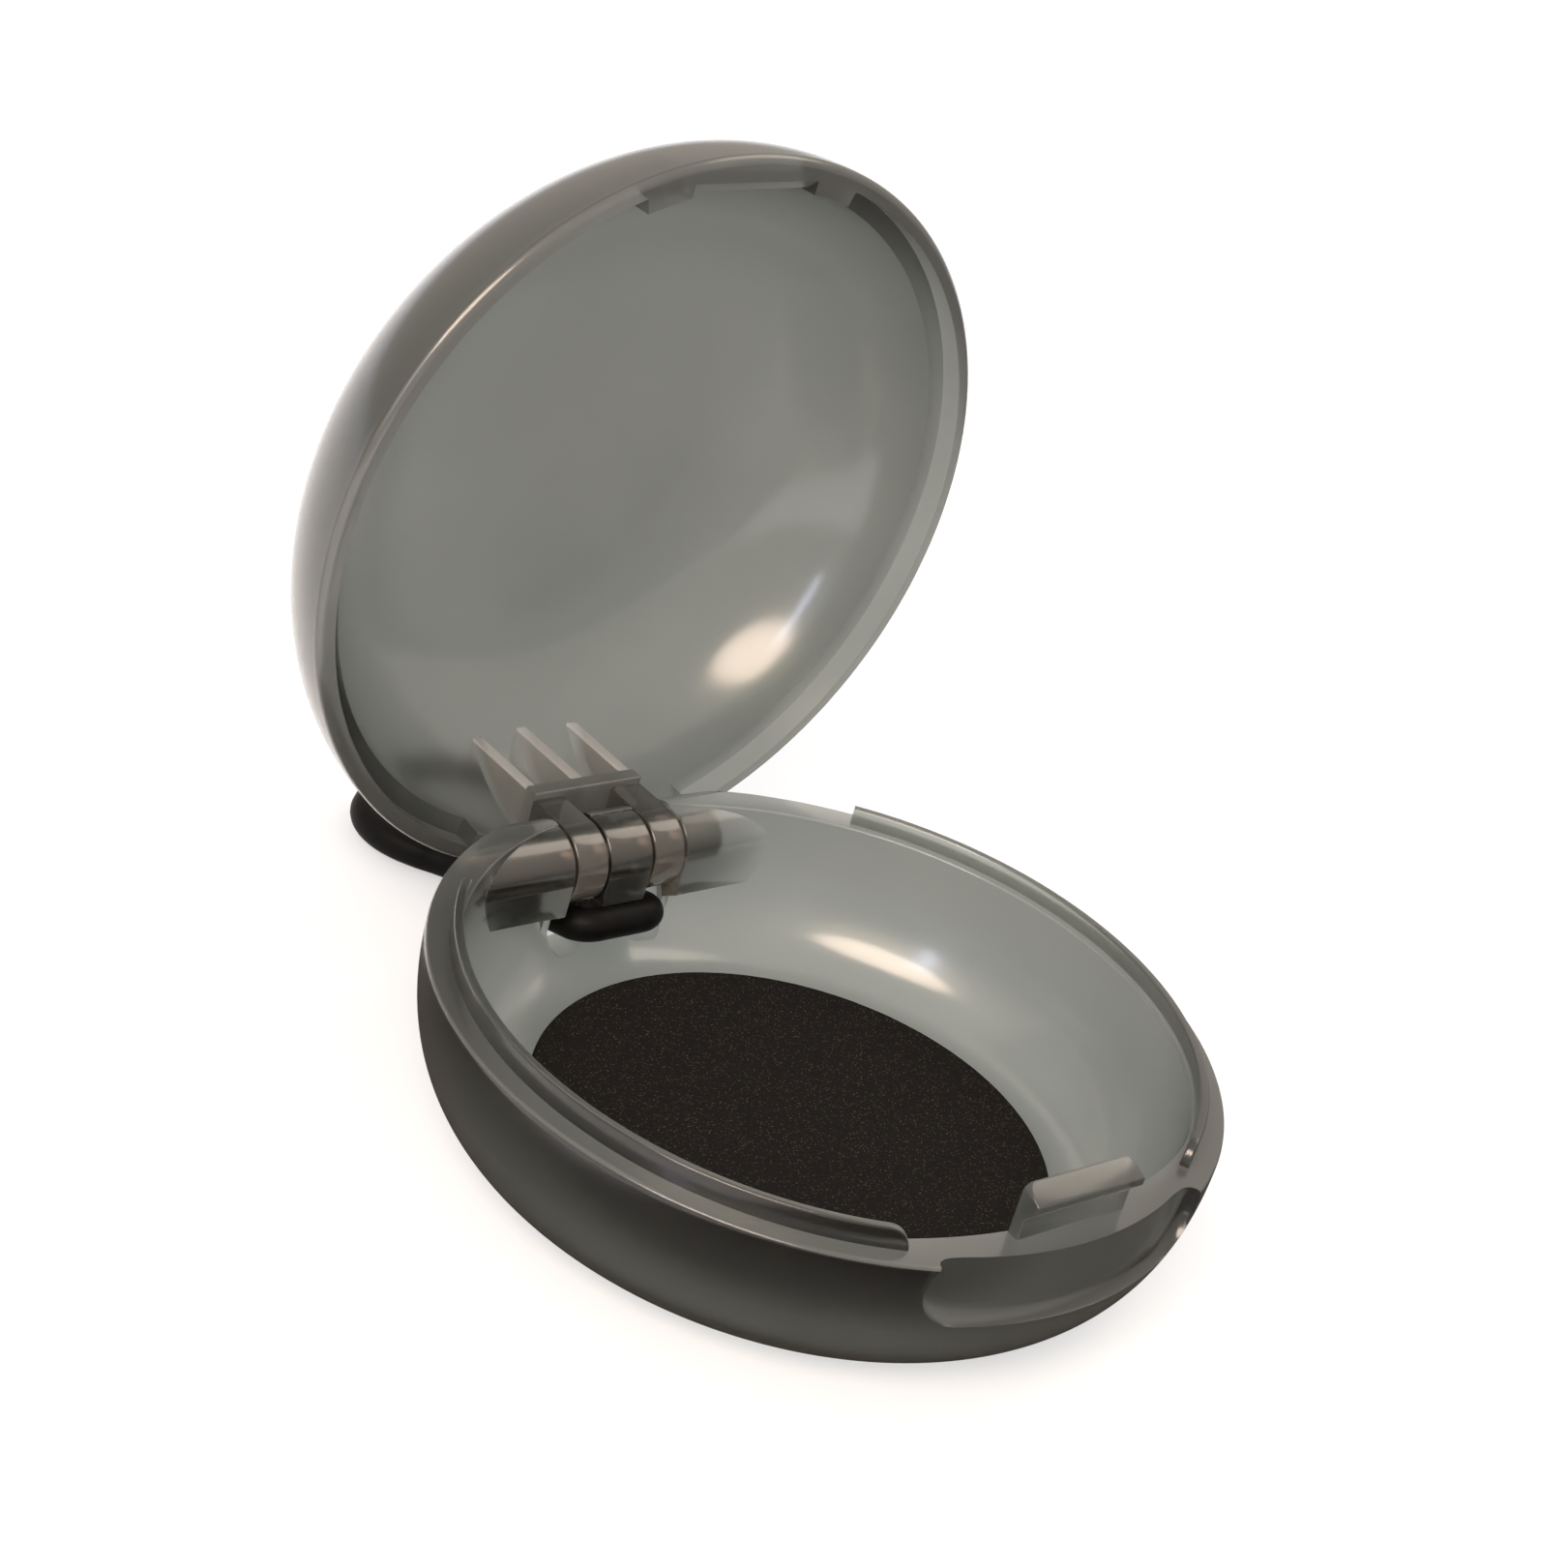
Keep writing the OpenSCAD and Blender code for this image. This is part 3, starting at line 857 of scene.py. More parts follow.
@dataclass
class Shell:
    """What the two halves of the case share, in millimetres.

    The seam is a small step between faces that would otherwise lie in one plane. When faces get their
    shares, near says how far the middle of one may lie from the surface that it belongs to, and level how
    much of a normal points along Z on a face that isn't upright.
    """

    case_r: float = 21.0
    rim_w: float = 1.8
    rim_gap: float = 0.15
    rim_z: float = 9.4
    moulded_edge: float = 0.1
    trim_inset: float = 0.3
    seam: float = 0.01
    near: float = 0.05
    level: float = 0.35
    segments: int = 288
    steps: int = 64

    @property
    def cavity_r(self) -> float:
        """Radius of the mouth of the cavity."""
        return self.case_r - self.rim_w

    @property
    def lid_z(self) -> float:
        """Height of the rim of the shut lid."""
        return self.rim_z + self.rim_gap

    def curve(self, rim_r: float, flat_r: float, height: float, squareness: float) -> Outline:
        """Gives the wall of a shell as radius and distance from the rim.

        Args:
            rim_r: Radius at the rim.
            flat_r: Radius of the flat face.
            height: Distance from the rim to the flat face.
            squareness: Power of the curve, where two is an ellipse.

        Returns:
            Points from the rim to the flat face.
        """
        power = 2 / squareness
        turns = [math.pi / 2 * i / self.steps for i in range(self.steps + 1)]
        return [(flat_r + (rim_r - flat_r) * max(0.0, math.cos(t)) ** power, height * math.sin(t) ** power)
                for t in turns]

    def lathe(self, name: str, profile: Outline,
              reach: Optional[Callable[[float, tuple[float, float]], float]] = None) -> bpy.types.Object:
        """Turns a profile round the Z axis.

        Args:
            name: The object's name.
            profile: Radius and height of each ring, from pole to pole.
            reach: Function that gives the radius at an angle from the latch and a corner of the profile.

        Returns:
            The form.
        """
        rings = []
        for corner in profile:
            if corner[0] <= 0:
                rings.append([(0, 0, corner[1])])
                continue
            ring = []
            for i in range(self.segments):
                turn = math.tau * i / self.segments
                r = reach(turn, corner) if reach else corner[0]
                ring.append((r * math.sin(turn), -r * math.cos(turn), corner[1]))
            rings.append(ring)
        return loft(name, rings)

    def ring_sector(self, name: str, section: Outline, start: float, end: float) -> bpy.types.Object:
        """Sweeps a section of radius and height round part of a circle.

        Args:
            name: The object's name.
            section: Corners as radius and height.
            start: First angle from the latch towards +X, in degrees.
            end: Last angle, in degrees.

        Returns:
            The object.
        """
        count = max(2, round(abs(end - start)))
        rings = []
        for i in range(count + 1):
            turn = math.radians(start + (end - start) * i / count)
            rings.append([(r * math.sin(turn), -r * math.cos(turn), z) for r, z in section])
        return loft(name, rings)

    def mark(self, shell: bpy.types.Object, shares: Callable[[Vector, Vector], Shares]) -> None:
        """Stores the shares of each face, while the case is shut.

        Args:
            shell: The shell, in millimetres.
            shares: Function that gives the shares from the middle and the normal of a face.
        """
        values = [shares(face.center, face.normal) for face in shell.data.polygons]
        for name in Shares._fields:
            layer = shell.data.attributes.new(name, "FLOAT", "FACE")
            layer.data.foreach_set("value", [getattr(value, name) for value in values])


@dataclass
class BaseShell(Shell):
    """The lower half of the case: a bowl with a hinge, two lips, a latch tab and a thumb scoop."""

    hinge: Hinge = field(default_factory=Hinge)
    foot_r: float = 13.6
    squareness: float = 2.35
    floor_t: float = 1.3
    well_r: float = 14.35
    foot_rings: tuple[float, ...] = (0.0, 3.0, 7.0, 11.0)
    rim_edge: float = 0.2
    cavity_edge: float = 0.12
    front_wall: float = 2.9
    front_r: float = 27.0
    front_blend: float = 0.5
    lip_r: float = 19.3
    lip_t: float = 0.5
    lip_h: float = 1.2
    lip_edge: float = 0.14
    lip_front: float = 29.0
    lip_back: float = 137.0
    tab_w: float = 7.3
    tab_t: float = 0.7
    tab_h: float = 2.9
    tab_in: float = 3.1
    tab_crest: float = 0.15
    tab_corner: float = 0.5
    nose_out: float = 0.6
    nose_bevel: float = 0.6
    nose_flat: float = 0.4
    nose_under: float = 0.7
    scoop_w: float = 18.6
    scoop_h: float = 3.8
    scoop_d: float = 1.0
    scoop_corner: float = 2.5
    scoop_round: float = 1.1
    scoop_brow: float = 2.2
    block_drop: float = 4.4
    centre_drop: float = 4.2
    cheek_w: float = 0.5
    cheek_bevel: float = 0.7
    slot_drop: float = 7.3
    slot_corner: float = 0.8
    slot_reach: float = 1.95
    post_y: float = 17.45
    post_sunk: float = 0.3
    post_drop: float = 0.2
    weld: float = 0.4
    rim_matt: float = 0.1
    rim_matt_h: float = 0.16
    cheek_matt: float = 0.35
    cheek_depth: float = 1.5
    outer_skin: float = 0.6
    # painted_shade_share is the strength of the painted shade on the outer wall and the outside of the lips
    painted_shade_share: float = 0.95
    sideways: float = 0.9
    outward: float = 0.6

    def inner_reach(self, turn: float, radius: float) -> float:
        """Draws the inside of the wall in behind the scoop, with a soft corner.

        Args:
            turn: Angle from the latch.
            radius: Radius of the cavity without the scoop.

        Returns:
            The radius there.
        """
        off = self.front_r - self.case_r + self.front_wall
        front = -off * math.cos(turn) + math.sqrt(self.front_r ** 2 - (off * math.sin(turn)) ** 2)
        gap = radius - front
        k = self.front_blend
        if gap < -k:
            return radius
        if gap > k:
            return front
        return front + gap / 2 - k / 4 - gap * gap / (4 * k)

    def bowl(self) -> bpy.types.Object:
        """Turns the wall and the floor as one form.

        Returns:
            The bowl.
        """
        outer = [(r, self.rim_z - d) for r, d in
                 self.curve(self.case_r, self.foot_r, self.rim_z, self.squareness)]
        inner = [(r, self.rim_z - d) for r, d in
                 self.curve(self.cavity_r, self.well_r, self.rim_z - self.floor_t, self.squareness)]
        edge, lip = self.rim_edge, self.cavity_edge
        outer = [p for p in outer if p[1] < self.rim_z - edge]
        inner = [p for p in inner if p[1] < self.rim_z - lip]
        rim = arc((self.case_r - edge, self.rim_z - edge), edge, 0, 90, steps=4)
        mouth = arc((self.cavity_r + lip, self.rim_z - lip), lip, 90, 180, steps=4)
        middle = [(self.case_r - self.rim_w / 2, self.rim_z)]
        foot = [(r, 0.0) for r in self.foot_rings]
        well = [(r, self.floor_t) for r in reversed(self.foot_rings)]
        drawn_in = set(mouth + inner)

        def reach(turn: float, corner: tuple[float, float]) -> float:
            """Draws the rings of the cavity in behind the scoop."""
            return self.inner_reach(turn, corner[0]) if corner in drawn_in else corner[0]

        return self.lathe("bowl", foot + outer[::-1] + rim + middle + mouth + inner + well, reach)

    def lip(self, side: int) -> bpy.types.Object:
        """Makes the raised lip of one side, with soft crests and a round front end.

        Args:
            side: 1 for +X and -1 for -X.

        Returns:
            The lip.
        """
        low, high, e = self.rim_z - self.weld, self.rim_z + self.lip_h, self.lip_edge
        inside, outside = self.lip_r, self.lip_r + self.lip_t
        section = [(inside, low)] + arc((inside + e, high - e), e, 180, 90, steps=4)
        section += arc((outside - e, high - e), e, 90, 0, steps=4) + [(outside, low)]
        end = math.degrees(math.asin(self.lip_h / outside))
        full = self.lip_h + self.weld

        def height(angle: float, z: float) -> float:
            """Rounds the crest down towards the front end.

            Args:
                angle: Angle from the latch, in degrees.
                z: Height of the corner on a full lip.

            Returns:
                Its height there.
            """
            past = min(1.0, (abs(angle) - self.lip_front) / end)
            crest = self.lip_h * math.sqrt(max(0.0, 1 - (1 - past) ** 2)) + self.weld
            return low + (z - low) * crest / full

        round_steps, even_steps = 14, 110
        start, even = self.lip_front + end, self.lip_back - self.lip_front - end
        near = [self.lip_front + end * (1 - math.cos(math.pi / 2 * i / round_steps))
                for i in range(round_steps)]
        far = [start + i * even / even_steps for i in range(even_steps + 1)]
        rings = []
        for angle in near + far:
            turn = math.radians(angle * side)
            rings.append([(r * math.sin(turn), -r * math.cos(turn), height(angle, z)) for r, z in section])
        return loft("lip", rings)

    def tab(self) -> bpy.types.Object:
        """Makes the latch tab with its nose and its two round corners.

        Returns:
            The tab.
        """
        face = -(self.case_r - self.tab_in)
        front = face - self.tab_t
        nose = front - self.nose_out
        top = self.rim_z + self.tab_h
        nose_z = top - self.nose_bevel
        under = nose_z - self.nose_flat
        foot = self.rim_z - self.weld
        outline = [(face, foot), (face, top), (face - self.tab_crest, top), (nose, nose_z), (nose, under),
                   (front, under - self.nose_under), (front, foot)]
        tab = prism("tab", outline, -self.tab_w / 2, self.tab_w / 2, Axis.X)
        half, c = self.tab_w / 2, self.tab_corner
        front_view = [(-half, foot)] + arc((-half + c, top - c), c, 180, 90)
        front_view += arc((half - c, top - c), c, 90, 0) + [(half, foot)]
        combine(tab, [prism("corners", front_view, nose - PAST, face + PAST, Axis.Y)], Join.KEEP)
        return soften(tab, self.moulded_edge)

    def scoop(self) -> bpy.types.Object:
        """Makes the cutter for the thumb scoop.

        Its back follows the rim and its edges are hollow rounds.

        Returns:
            The cutter.
        """
        back = self.case_r - self.scoop_d
        foot = self.rim_z - self.scoop_h
        top = self.rim_z + PAST
        outside = self.case_r + 1.5 * PAST
        rho = self.scoop_round
        rounds, columns, corner, upright = 8, 120, 14, 8
        insets = [rho * (1 - math.cos(math.pi / 2 * i / rounds)) for i in range(rounds + 1)]
        half_count = upright + corner + 2

        def trough(inset: float) -> Outline:
            """Gives the outline of the scoop, from its left top round to its right top.

            Args:
                inset: How far it is drawn in.

            Returns:
                The outline.
            """
            half, low, c = self.scoop_w / 2 - inset, foot + inset, self.scoop_corner - inset
            brow, middle = self.scoop_brow - inset, low + c
            crest = arc((-half + brow, middle), brow, 100, 180, steps=upright)
            left = [(crest[0][0], top)] + crest
            left += arc((-half + c, middle), c, 180, 270, steps=corner)[1:]
            floor = [(left[-1][0] * (1 - 2 * i / columns), low) for i in range(1, columns)]
            return left + floor + [(-x, z) for x, z in reversed(left)]

        def place(x: float, z: float, radius: float) -> tuple[float, float, float]:
            """Puts a point on a cylinder round the Z axis."""
            return x, -math.sqrt(radius ** 2 - x * x), z

        points: list[tuple[float, float, float]] = []
        faces: list[tuple[int, ...]] = []
        count = len(trough(0))
        rows = [(0.0, outside)] + [
            (s, back + rho - rho * math.sqrt(max(0.0, 1 - (1 - s / rho) ** 2))) for s in insets]
        for inset, radius in rows:
            points += [place(x, z, radius) for x, z in trough(inset)]
        for k in range(len(rows) - 1):
            for i in range(count - 1):
                a, b = k * count + i, (k + 1) * count + i
                faces.append((a, b, b + 1, a + 1))
        tops = []
        for inset, radius, first in ((0.0, outside, 0), (rho, back, (len(rows) - 1) * count)):
            line = trough(inset)
            rungs = []
            for i in range(half_count - 1):
                rung = [first + i]
                for c in range(1, columns):
                    rung.append(len(points))
                    points.append(place(line[i][0] * (1 - 2 * c / columns), line[i][1], radius))
                rung.append(first + count - 1 - i)
                rungs.append(rung)
            rungs.append([first + half_count - 1 + c for c in range(columns + 1)])
            for low_rung, high_rung in zip(rungs, rungs[1:]):
                for c in range(columns):
                    faces.append((low_rung[c], low_rung[c + 1], high_rung[c + 1], high_rung[c]))
            tops.append(rungs[0])
        outer_top, inner_top = tops
        left_side = [k * count for k in range(len(rows))]
        right_side = [k * count + count - 1 for k in range(len(rows))]
        faces.append(tuple(outer_top[1:-1] + right_side + inner_top[-2:0:-1] + left_side[::-1]))
        return solid("scoop", points, faces)

    def hinge_forms(self) -> list[bpy.types.Object]:
        """Makes the barrels, the post and the cheek plates.

        Returns:
            The forms.
        """
        h, e = self.hinge, self.moulded_edge
        half, deep = h.centre_w / 2, self.case_r + PAST
        block_low, slot_low = self.rim_z - self.block_drop, self.rim_z - self.slot_drop
        forms = [
            h.bar("centre_barrel", h.barrel_r, -half, half, e),
            box("centre_block", (-half, h.front_y, self.rim_z - self.centre_drop), (half, deep, h.axis_z), e),
            box("post", (-half + self.seam, self.post_y, self.floor_t - self.post_sunk),
                (half - self.seam, deep, h.axis_z - self.post_drop), e),
        ]
        front = h.front_y + 2 * self.seam
        cheek = [(front, h.axis_z), (front, block_low), (self.post_y, block_low - self.cheek_bevel),
                 (self.post_y, slot_low), (deep, slot_low), (deep, h.axis_z)]
        for side in (-1, 1):
            near, far = sorted((side * h.block_x, side * self.case_r / 2))
            forms.append(h.bar("outer_barrel", h.barrel_r, near, far, e))
            forms.append(box("outer_block", (near, h.front_y, block_low), (far, deep, h.axis_z), e))
            near, far = sorted((side * (h.block_x + self.seam), side * (h.block_x + self.cheek_w)))
            forms.append(prism("cheek", cheek, near, far, Axis.X, e / 2))
        return forms

    def shares(self, middle: Vector, normal: Vector) -> Shares:
        """Gives the shares of a face.

        Args:
            middle: Middle of the face.
            normal: Its normal.

        Returns:
            The shares: the rim scatters a little, the barrels, the cheeks and the bore are core, and the
            outer wall and the outside of the lips get the deep share, a painted shade.
        """
        h, near = self.hinge, self.near
        x, y, z = middle
        across, out = abs(x), math.hypot(x, y)
        reach = math.hypot(y - h.axis_y, z - h.axis_z)
        with_pin = -self.case_r / 2 < x < h.block_x - near
        in_wall = out > self.case_r - self.outer_skin and reach > h.pin_r + 2 * near
        if with_pin and reach < h.barrel_r + near and not in_wall:
            return Shares(core=1.0)
        in_slot = (h.centre_w / 2 - 2 * near < across < h.block_x + self.cheek_w + near and z < h.axis_z
                   and h.front_y - self.slot_reach - near < y < self.post_y + self.cheek_depth)
        if in_slot and abs(normal.x) > self.sideways:
            return Shares(matt_and_highlight=self.cheek_matt, core=1.0)
        at_rim = -self.rim_matt_h < z - self.rim_z < near / 2
        if at_rim and normal.z > self.level:
            return Shares(matt_and_highlight=self.rim_matt)
        # painted shade on the outer wall and the outside of the lips
        outward = (x * normal.x + y * normal.y) / out > self.outward
        at_lip = z > self.rim_z + near / 2 and abs(out - self.lip_r - self.lip_t) < near
        at_wall = z < self.rim_z - near / 2 and out > self.case_r - self.scoop_d / 2
        return Shares(deep=self.painted_shade_share if outward and (at_lip or at_wall) else 0.0)

    def build(self, material: bpy.types.Material) -> bpy.types.Object:
        """Puts the base together and dresses it.

        Args:
            material: The smoked plastic.

        Returns:
            The base.
        """
        h = self.hinge
        forms = self.hinge_forms()
        group = combine(forms[0], forms[1:], Join.ADD)
        inset = self.trim_inset
        skin = [(r - inset, self.rim_z - d) for r, d in
                self.curve(self.case_r, self.foot_r, self.rim_z - inset, self.squareness)]
        trim = self.lathe("trim", [(0, inset)] + skin[::-1] + [(0, self.rim_z)])
        combine(group, [trim], Join.KEEP)
        base = combine(self.bowl(), [group, self.lip(1), self.lip(-1), self.tab()], Join.ADD)
        cuts = [self.scoop()]
        above, outside = self.rim_z + PAST, self.case_r + PAST
        for side in (-1, 1):
            half, c = h.slot_w / 2, self.slot_corner
            low = self.rim_z - self.slot_drop
            middle = side * h.knuckle_x
            slot = [(middle - half, above)] + arc((middle - half + c, low + c), c, 180, 270)
            slot += arc((middle + half - c, low + c), c, 270, 360) + [(middle + half, above)]
            cuts.append(prism("slot", slot, h.front_y - self.slot_reach, outside, Axis.Y))
        roll_r = self.lid_z - h.axis_z - self.rim_gap * 2 / 3
        corner = arc((h.axis_y, h.axis_z), roll_r, 0, 90, steps=24)
        roll = [(h.axis_y, above)] + corner[::-1] + [(outside, h.axis_z), (outside, above)]
        cuts.append(prism("roll", roll, -self.case_r, self.case_r, Axis.X))
        cuts.append(h.bar("bore", h.pin_r + self.seam, -self.case_r, h.pin_high + self.seam))
        combine(base, cuts, Join.CUT)
        self.mark(base, self.shares)
        piece = turn_into_metres(base, "base_casing")
        dress(piece, material)
        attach(piece, "base")
        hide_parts("base_shell")
        return piece


@dataclass
class LidShell(Shell):
    """The upper half of the case: a dome with two knuckles, three ribs, a rebate and a catch."""

    hinge: Hinge = field(default_factory=Hinge)
    height: float = 10.15
    flat_r: float = 9.5
    crown_rings: tuple[float, ...] = (0.0, 3.0, 6.0)
    squareness: float = 2.05
    crown_t: float = 1.2
    rim_edge: float = 0.45
    cavity_edge: float = 0.1
    rebate_r: float = 20.1
    rebate_h: float = 1.35
    rebate_front: float = 20.0
    rebate_back: float = 158.0
    pocket_w: float = 8.1
    pocket_y: float = -19.6
    pocket_h: float = 3.3
    catch_y: float = -18.95
    catch_z: float = 1.3
    tab_y: float = -17.9
    rib_w: float = 0.75
    rib_in: float = 4.85
    rib_foot: float = 0.3
    rib_back: float = 0.6
    rib_under: float = 0.5
    arm_back: float = 0.2
    shelf_t: float = 0.9
    shelf_gap: float = 0.3
    shelf_in: float = 5.0
    open_angle: float = 90.0
    rim_matt: float = 0.12
    # painted highlight: a pale share on the lower front of each knuckle of the open lid, strongest on faces
    # that point along knuckle_highlight_facing
    knuckle_painted_highlight: float = 0.9
    knuckle_highlight_facing: tuple[float, float] = (0.42, -0.9)
    knuckle_highlight_falloff: int = 4
    shelf_matt: float = 0.12
    rib_matt: float = 0.2
    # painted highlight: a paler share on the rib edges, standing for the light along them
    rib_edge_painted_highlight: float = 0.5
    rib_side: float = 0.97
    rib_corner: float = 0.25
    rib_front: float = 0.9

    def dome(self) -> bpy.types.Object:
        """Turns the wall and the crown as one form.

        Returns:
            The dome.
        """
        outer = [(r, self.lid_z + d) for r, d in
                 self.curve(self.case_r, self.flat_r, self.height, self.squareness)]
        inner = [(r, self.lid_z + d) for r, d in
                 self.curve(self.cavity_r, self.flat_r, self.height - self.crown_t, self.squareness)]
        edge, lip = self.rim_edge, self.cavity_edge
        outer = [p for p in outer if p[1] > self.lid_z + edge]
        inner = [p for p in inner if p[1] > self.lid_z + lip]
        rim = arc((self.case_r - edge, self.lid_z + edge), edge, 0, -90, steps=6)
        mouth = arc((self.cavity_r + lip, self.lid_z + lip), lip, 270, 180, steps=4)
        crown, ceiling = self.lid_z + self.height, self.lid_z + self.height - self.crown_t
        top = [(r, crown) for r in self.crown_rings]
        under = [(r, ceiling) for r in reversed(self.crown_rings)]
        return self.lathe("dome", top + outer[::-1] + rim + [(self.case_r - self.rim_w / 2, self.lid_z)]
                          + mouth + inner + under)

    def hinge_forms(self) -> list[bpy.types.Object]:
        """Makes the knuckles, their arms, the three ribs and the shelf.

        Returns:
            The forms.
        """
        h, e = self.hinge, self.moulded_edge
        shelf_low = self.rim_z + self.shelf_gap
        shelf_top = shelf_low + self.shelf_t
        deep = self.case_r - self.rib_back
        rib_front, rib_top = self.case_r - self.rib_in, self.lid_z + self.height - self.rib_under
        inside = []
        for side in (-1, 1):
            near, far = sorted((side * (h.knuckle_reach - self.rib_w), side * (h.knuckle_reach - self.seam)))
            inside.append(box("side_rib", (near, rib_front, self.lid_z + self.rib_foot),
                              (far, deep, rib_top), e))
        inside.append(box("centre_rib", (-self.rib_w / 2, rib_front + self.seam, shelf_low + self.near),
                          (self.rib_w / 2, deep, rib_top), e))
        inside.append(box("shelf", (-h.knuckle_reach, self.case_r - self.shelf_in, shelf_low),
                          (h.knuckle_reach, deep, shelf_top), e))
        group = combine(inside[0], inside[1:], Join.ADD)
        inset, below = self.trim_inset, self.lid_z - PAST
        skin = [(r - inset, self.lid_z + d) for r, d in
                self.curve(self.case_r, self.flat_r, self.height - inset, self.squareness)]
        trim = [(0, self.lid_z + self.height - inset)] + skin[::-1]
        trim += [(self.case_r - inset, below), (0, below)]
        combine(group, [self.lathe("trim", trim)], Join.KEEP)
        forms = [group]
        for side in (-1, 1):
            near, far = sorted((side * (h.knuckle_x - h.knuckle_w / 2), side * h.knuckle_reach))
            forms.append(h.bar("knuckle", h.barrel_r, near, far, e))
            forms.append(box("arm", (near + self.seam, h.front_y, h.axis_z),
                             (far - self.seam, self.case_r - self.arm_back, shelf_top), e))
        return forms

    def shares(self, middle: Vector, normal: Vector) -> Shares:
        """Gives the shares of a face, while the lid is shut.

        Args:
            middle: Middle of the face.
            normal: Its normal.

        Returns:
            The shares: ribs and the rim scatter a little, rib edges take a paler share as a painted
                highlight, and
            the knuckles and their bore are core, with a painted highlight on the lower front of each knuckle
            when the lid is open.
        """
        h, near = self.hinge, self.near
        x, y, z = middle
        shelf_low = self.rim_z + self.shelf_gap - near / 2
        shelf_top = shelf_low + self.shelf_t + near
        front = self.case_r - self.rib_in
        if abs(x) < h.knuckle_reach + self.seam and y > front - 4 * near:
            if z < shelf_low:
                # painted highlight on the knuckle faces that point along knuckle_highlight_facing
                forward, down = self.knuckle_highlight_facing
                low = (forward * (y - h.axis_y) + down * (z - h.axis_z)) / h.barrel_r
                return Shares(matt_and_highlight=self.knuckle_painted_highlight * max(0.0, low) ** self.knuckle_highlight_falloff, core=1.0)
            if z < shelf_top:
                return Shares(matt_and_highlight=self.shelf_matt)
            if abs(normal.x) > self.rib_side:
                return Shares(matt_and_highlight=self.rib_matt)
            # painted highlight on the rib edges
            if abs(normal.x) > self.rib_corner or (normal.y < -self.rib_front and y < front + near):
                return Shares(matt_and_highlight=self.rib_edge_painted_highlight)
        at_rim = z < self.lid_z + self.rim_edge and normal.z < -self.level
        in_rebate = -near < z - self.lid_z < self.rebate_h + near / 2
        at_wall = abs(math.hypot(x, y) - self.rebate_r) < near and abs(normal.z) < self.level
        return Shares(matt_and_highlight=self.rim_matt if at_rim or in_rebate and at_wall else 0.0)

    def build(self, material: bpy.types.Material) -> bpy.types.Object:
        """Puts the lid together, opens it and dresses it.

        Args:
            material: The smoked plastic.

        Returns:
            The lid.
        """
        h = self.hinge
        lid = self.dome()
        z = self.lid_z
        within = self.cavity_r - PAST
        rebate = [(within, z - PAST), (self.rebate_r, z - PAST), (self.rebate_r, z + self.rebate_h),
                  (within, z + self.rebate_h)]
        cuts = [self.ring_sector("rebate", rebate, side * self.rebate_front, side * self.rebate_back)
                for side in (-1, 1)]
        combine(lid, cuts, Join.CUT)
        half = self.pocket_w / 2
        rise = self.catch_y - self.pocket_y
        catch_z, catch_top = self.rim_z + self.catch_z, self.rim_z + self.catch_z + rise
        bead = box("catch", (-half, self.pocket_y - 2 * self.near, z + 2 * self.seam),
                   (half, self.catch_y, catch_top))
        combine(lid, [bead] + self.hinge_forms(), Join.ADD)
        front, ceiling = self.tab_y + PAST, self.rim_z + self.pocket_h
        pocket = [(front, z - PAST), (self.pocket_y, z - PAST), (self.pocket_y, z), (self.catch_y, z + rise),
                  (self.catch_y, catch_z), (self.pocket_y, catch_top), (self.pocket_y, ceiling),
                  (front, ceiling)]
        combine(lid, [prism("pocket", pocket, -half - self.seam, half + self.seam, Axis.X),
                      h.bar("bore", h.pin_r + h.pin_gap, -h.block_x, h.block_x)], Join.CUT)
        dress(lid, material)
        self.mark(lid, self.shares)
        pivot = Matrix.Translation((0, h.axis_y, h.axis_z))
        turn = Matrix.Rotation(math.radians(-self.open_angle), 4, "X")
        lid.data.transform(pivot @ turn @ pivot.inverted())
        piece = turn_into_metres(lid, "lid_casing")
        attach(piece, "lid")
        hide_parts("lid_shell")
        return piece


@dataclass
class FoamPad:
    """The round foam pad on the floor of the base."""

    radius: float = 14.0
    thick: float = 0.6
    low: float = 1.4
    edge: float = 0.22
    under_edge: float = 0.05
    grain: float = 0.012
    grain_length: float = 0.5
    smooth_angle: float = 60.0
    rings: int = 70
    segments: int = 240

    def build(self, material: bpy.types.Material) -> bpy.types.Object:
        """Makes the pad with a soft edge and a fine uneven top.

        Args:
            material: The foam.

        Returns:
            The pad.
        """
        top = self.low + self.thick - self.grain
        reach = self.radius - self.grain
        profile = [(0.0, self.low), (reach / 2, self.low), (reach - self.under_edge, self.low),
                   (reach, self.low + self.under_edge)]
        profile += arc((reach - self.edge, top - self.edge), self.edge, 0, 90, steps=5)
        inner = reach - self.edge
        profile += [(inner * (1 - i / self.rings), top) for i in range(1, self.rings + 1)]
        rings = []
        for r, z in profile:
            if math.isclose(r, 0.0, abs_tol=1e-9):
                rings.append([(0.0, 0.0, z)])
                continue
            ring = []
            for i in range(self.segments):
                turn = math.tau * i / self.segments
                x, y = r * math.cos(turn), r * math.sin(turn)
                rough = z > self.low + 2 * self.under_edge
                lift = self.grain * noise.noise(Vector((x, y, z)) / self.grain_length) if rough else 0.0
                ring.append((x, y, z + lift))
            rings.append(ring)
        piece = turn_into_metres(loft("foam_disc", rings), "foam_disc", self.smooth_angle)
        dress(piece, material)
        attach(piece, "base")
        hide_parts("foam_pad")
        return piece


@dataclass
class HingePin:
    """The steel pin, with its rounded ends."""

    hinge: Hinge = field(default_factory=Hinge)
    end_edge: float = 0.2
    smooth_angle: float = 40.0

    def build(self, material: bpy.types.Material) -> bpy.types.Object:
        """Makes the pin.

        Args:
            material: The steel.

        Returns:
            The pin.
        """
        h = self.hinge
        rod = h.bar("rod", h.pin_r, h.pin_low, h.pin_high, self.end_edge)
        piece = turn_into_metres(rod, "hinge_rod", self.smooth_angle)
        dress(piece, material)
        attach(piece, "base")
        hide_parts("hinge_pin")
        return piece


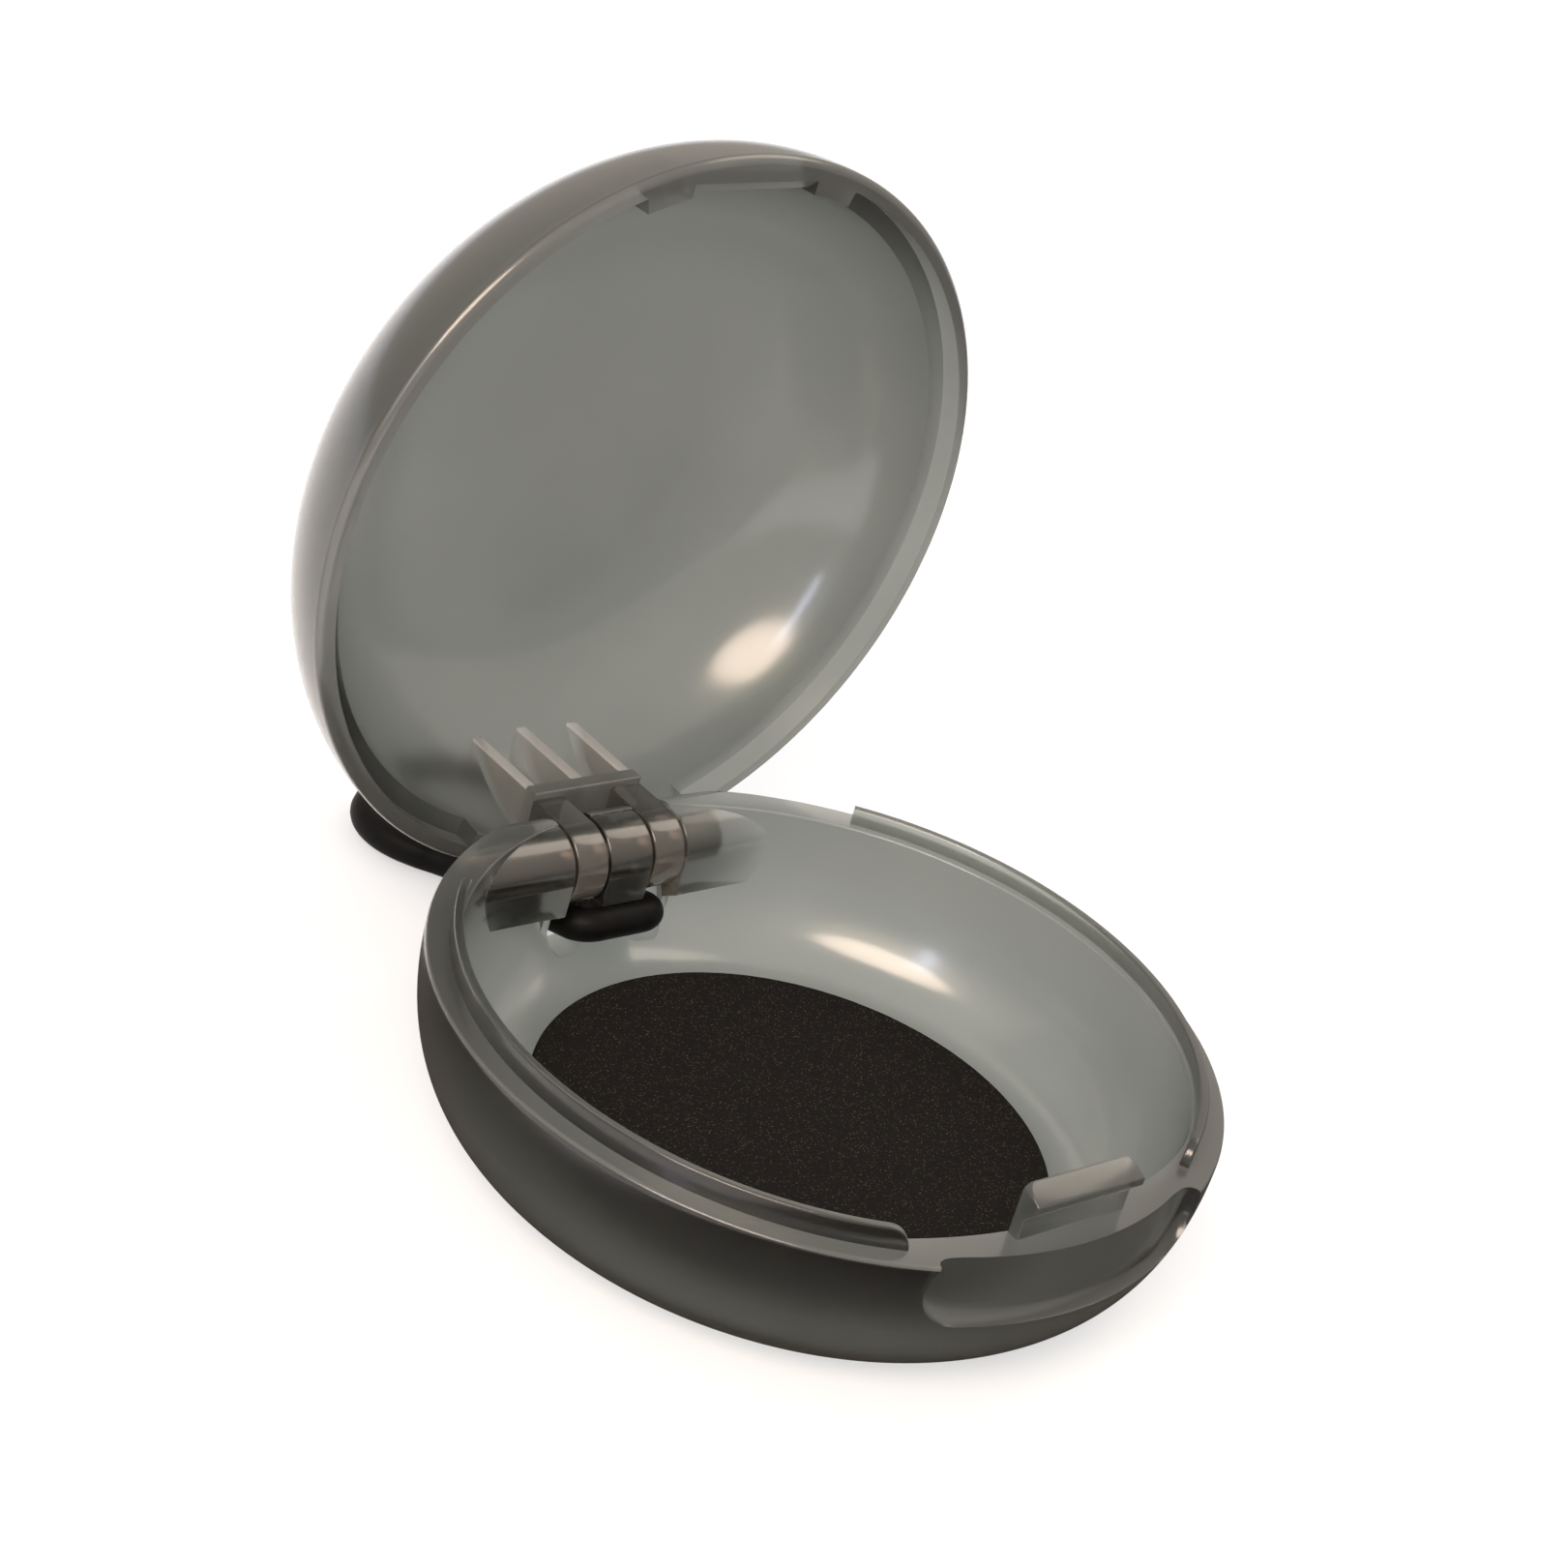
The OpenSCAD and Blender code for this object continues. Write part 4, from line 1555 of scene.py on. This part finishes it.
@dataclass
class KeyCord:
    """The free loop of the cord, which is the same on both sides; the route is its middle."""

    radius: float = 0.95
    route: tuple[tuple[float, float, float], ...] = (
        (2.5, 19.5, 3.25), (2.5, 21, 2.81), (2.5, 22.4, 2.4), (2.35, 23.9, 1.96), (2.2, 25.4, 1.55),
        (2.25, 26.9, 1.2), (2.9, 28.4, 1), (3.8, 29.5, 1), (4.5, 30.7, 1), (4.8, 32, 1),
        (4.6, 33.3, 1), (3.85, 34.4, 1), (2.7, 35.15, 1), (1.35, 35.55, 1),
    )
    far_end: tuple[float, float, float] = (0, 35.7, 1)
    round_steps: int = 8
    length_steps: int = 12

    def build(self, material: bpy.types.Material) -> bpy.types.Object:
        """Makes the loop.

        Args:
            material: The rubber.

        Returns:
            The loop.
        """
        route = [*self.route, self.far_end] + [(-x, y, z) for x, y, z in reversed(self.route)]
        curve = bpy.data.curves.new("key_cord", "CURVE")
        curve.dimensions = "3D"
        curve.bevel_depth = self.radius * MM
        curve.bevel_resolution = self.round_steps
        curve.resolution_u = self.length_steps
        curve.use_fill_caps = True
        spline = curve.splines.new("BEZIER")
        spline.bezier_points.add(len(route) - 1)
        for point, place in zip(spline.bezier_points, route):
            point.co = Vector(place) * MM
            point.handle_left_type = point.handle_right_type = "AUTO"
        cord = new_object("key_cord", curve)
        curve.materials.append(material)
        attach(cord, "base")
        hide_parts("cord_loop")
        return cord


def report(piece: bpy.types.Object) -> None:
    """Reports a finished piece with its size."""
    LOG.info("%s: %s mm", piece.name, " x ".join(f"{side / MM:.1f}" for side in piece.dimensions))


def main() -> None:
    """Builds the studio, then each piece of the case in order, and reports it."""
    Studio().build()
    rubber = CordRubber().build()
    report(KeyCord().build(rubber))
    base_plastic = SmokedPolycarbonate("smoked_polycarbonate_base", skin="c2c5be", skin_flow="bdc0b9",
                                       clearness=0.97)
    lid_plastic = SmokedPolycarbonate("smoked_polycarbonate_lid", clearness=0.935)
    report(BaseShell().build(base_plastic.build()))
    report(LidShell().build(lid_plastic.build()))
    report(HingePin().build(GroundSteel().build()))
    report(FoamPad().build(OpenFoam().build()))
    for node, finish in (("cord_bridge", rubber), ("pad_adhesive", AdhesiveFilm().build())):
        dress(frame["nodes"][node], finish)
        report(frame["nodes"][node])


if __name__ == "__main__":
    logging.basicConfig(level=logging.INFO)
    main()
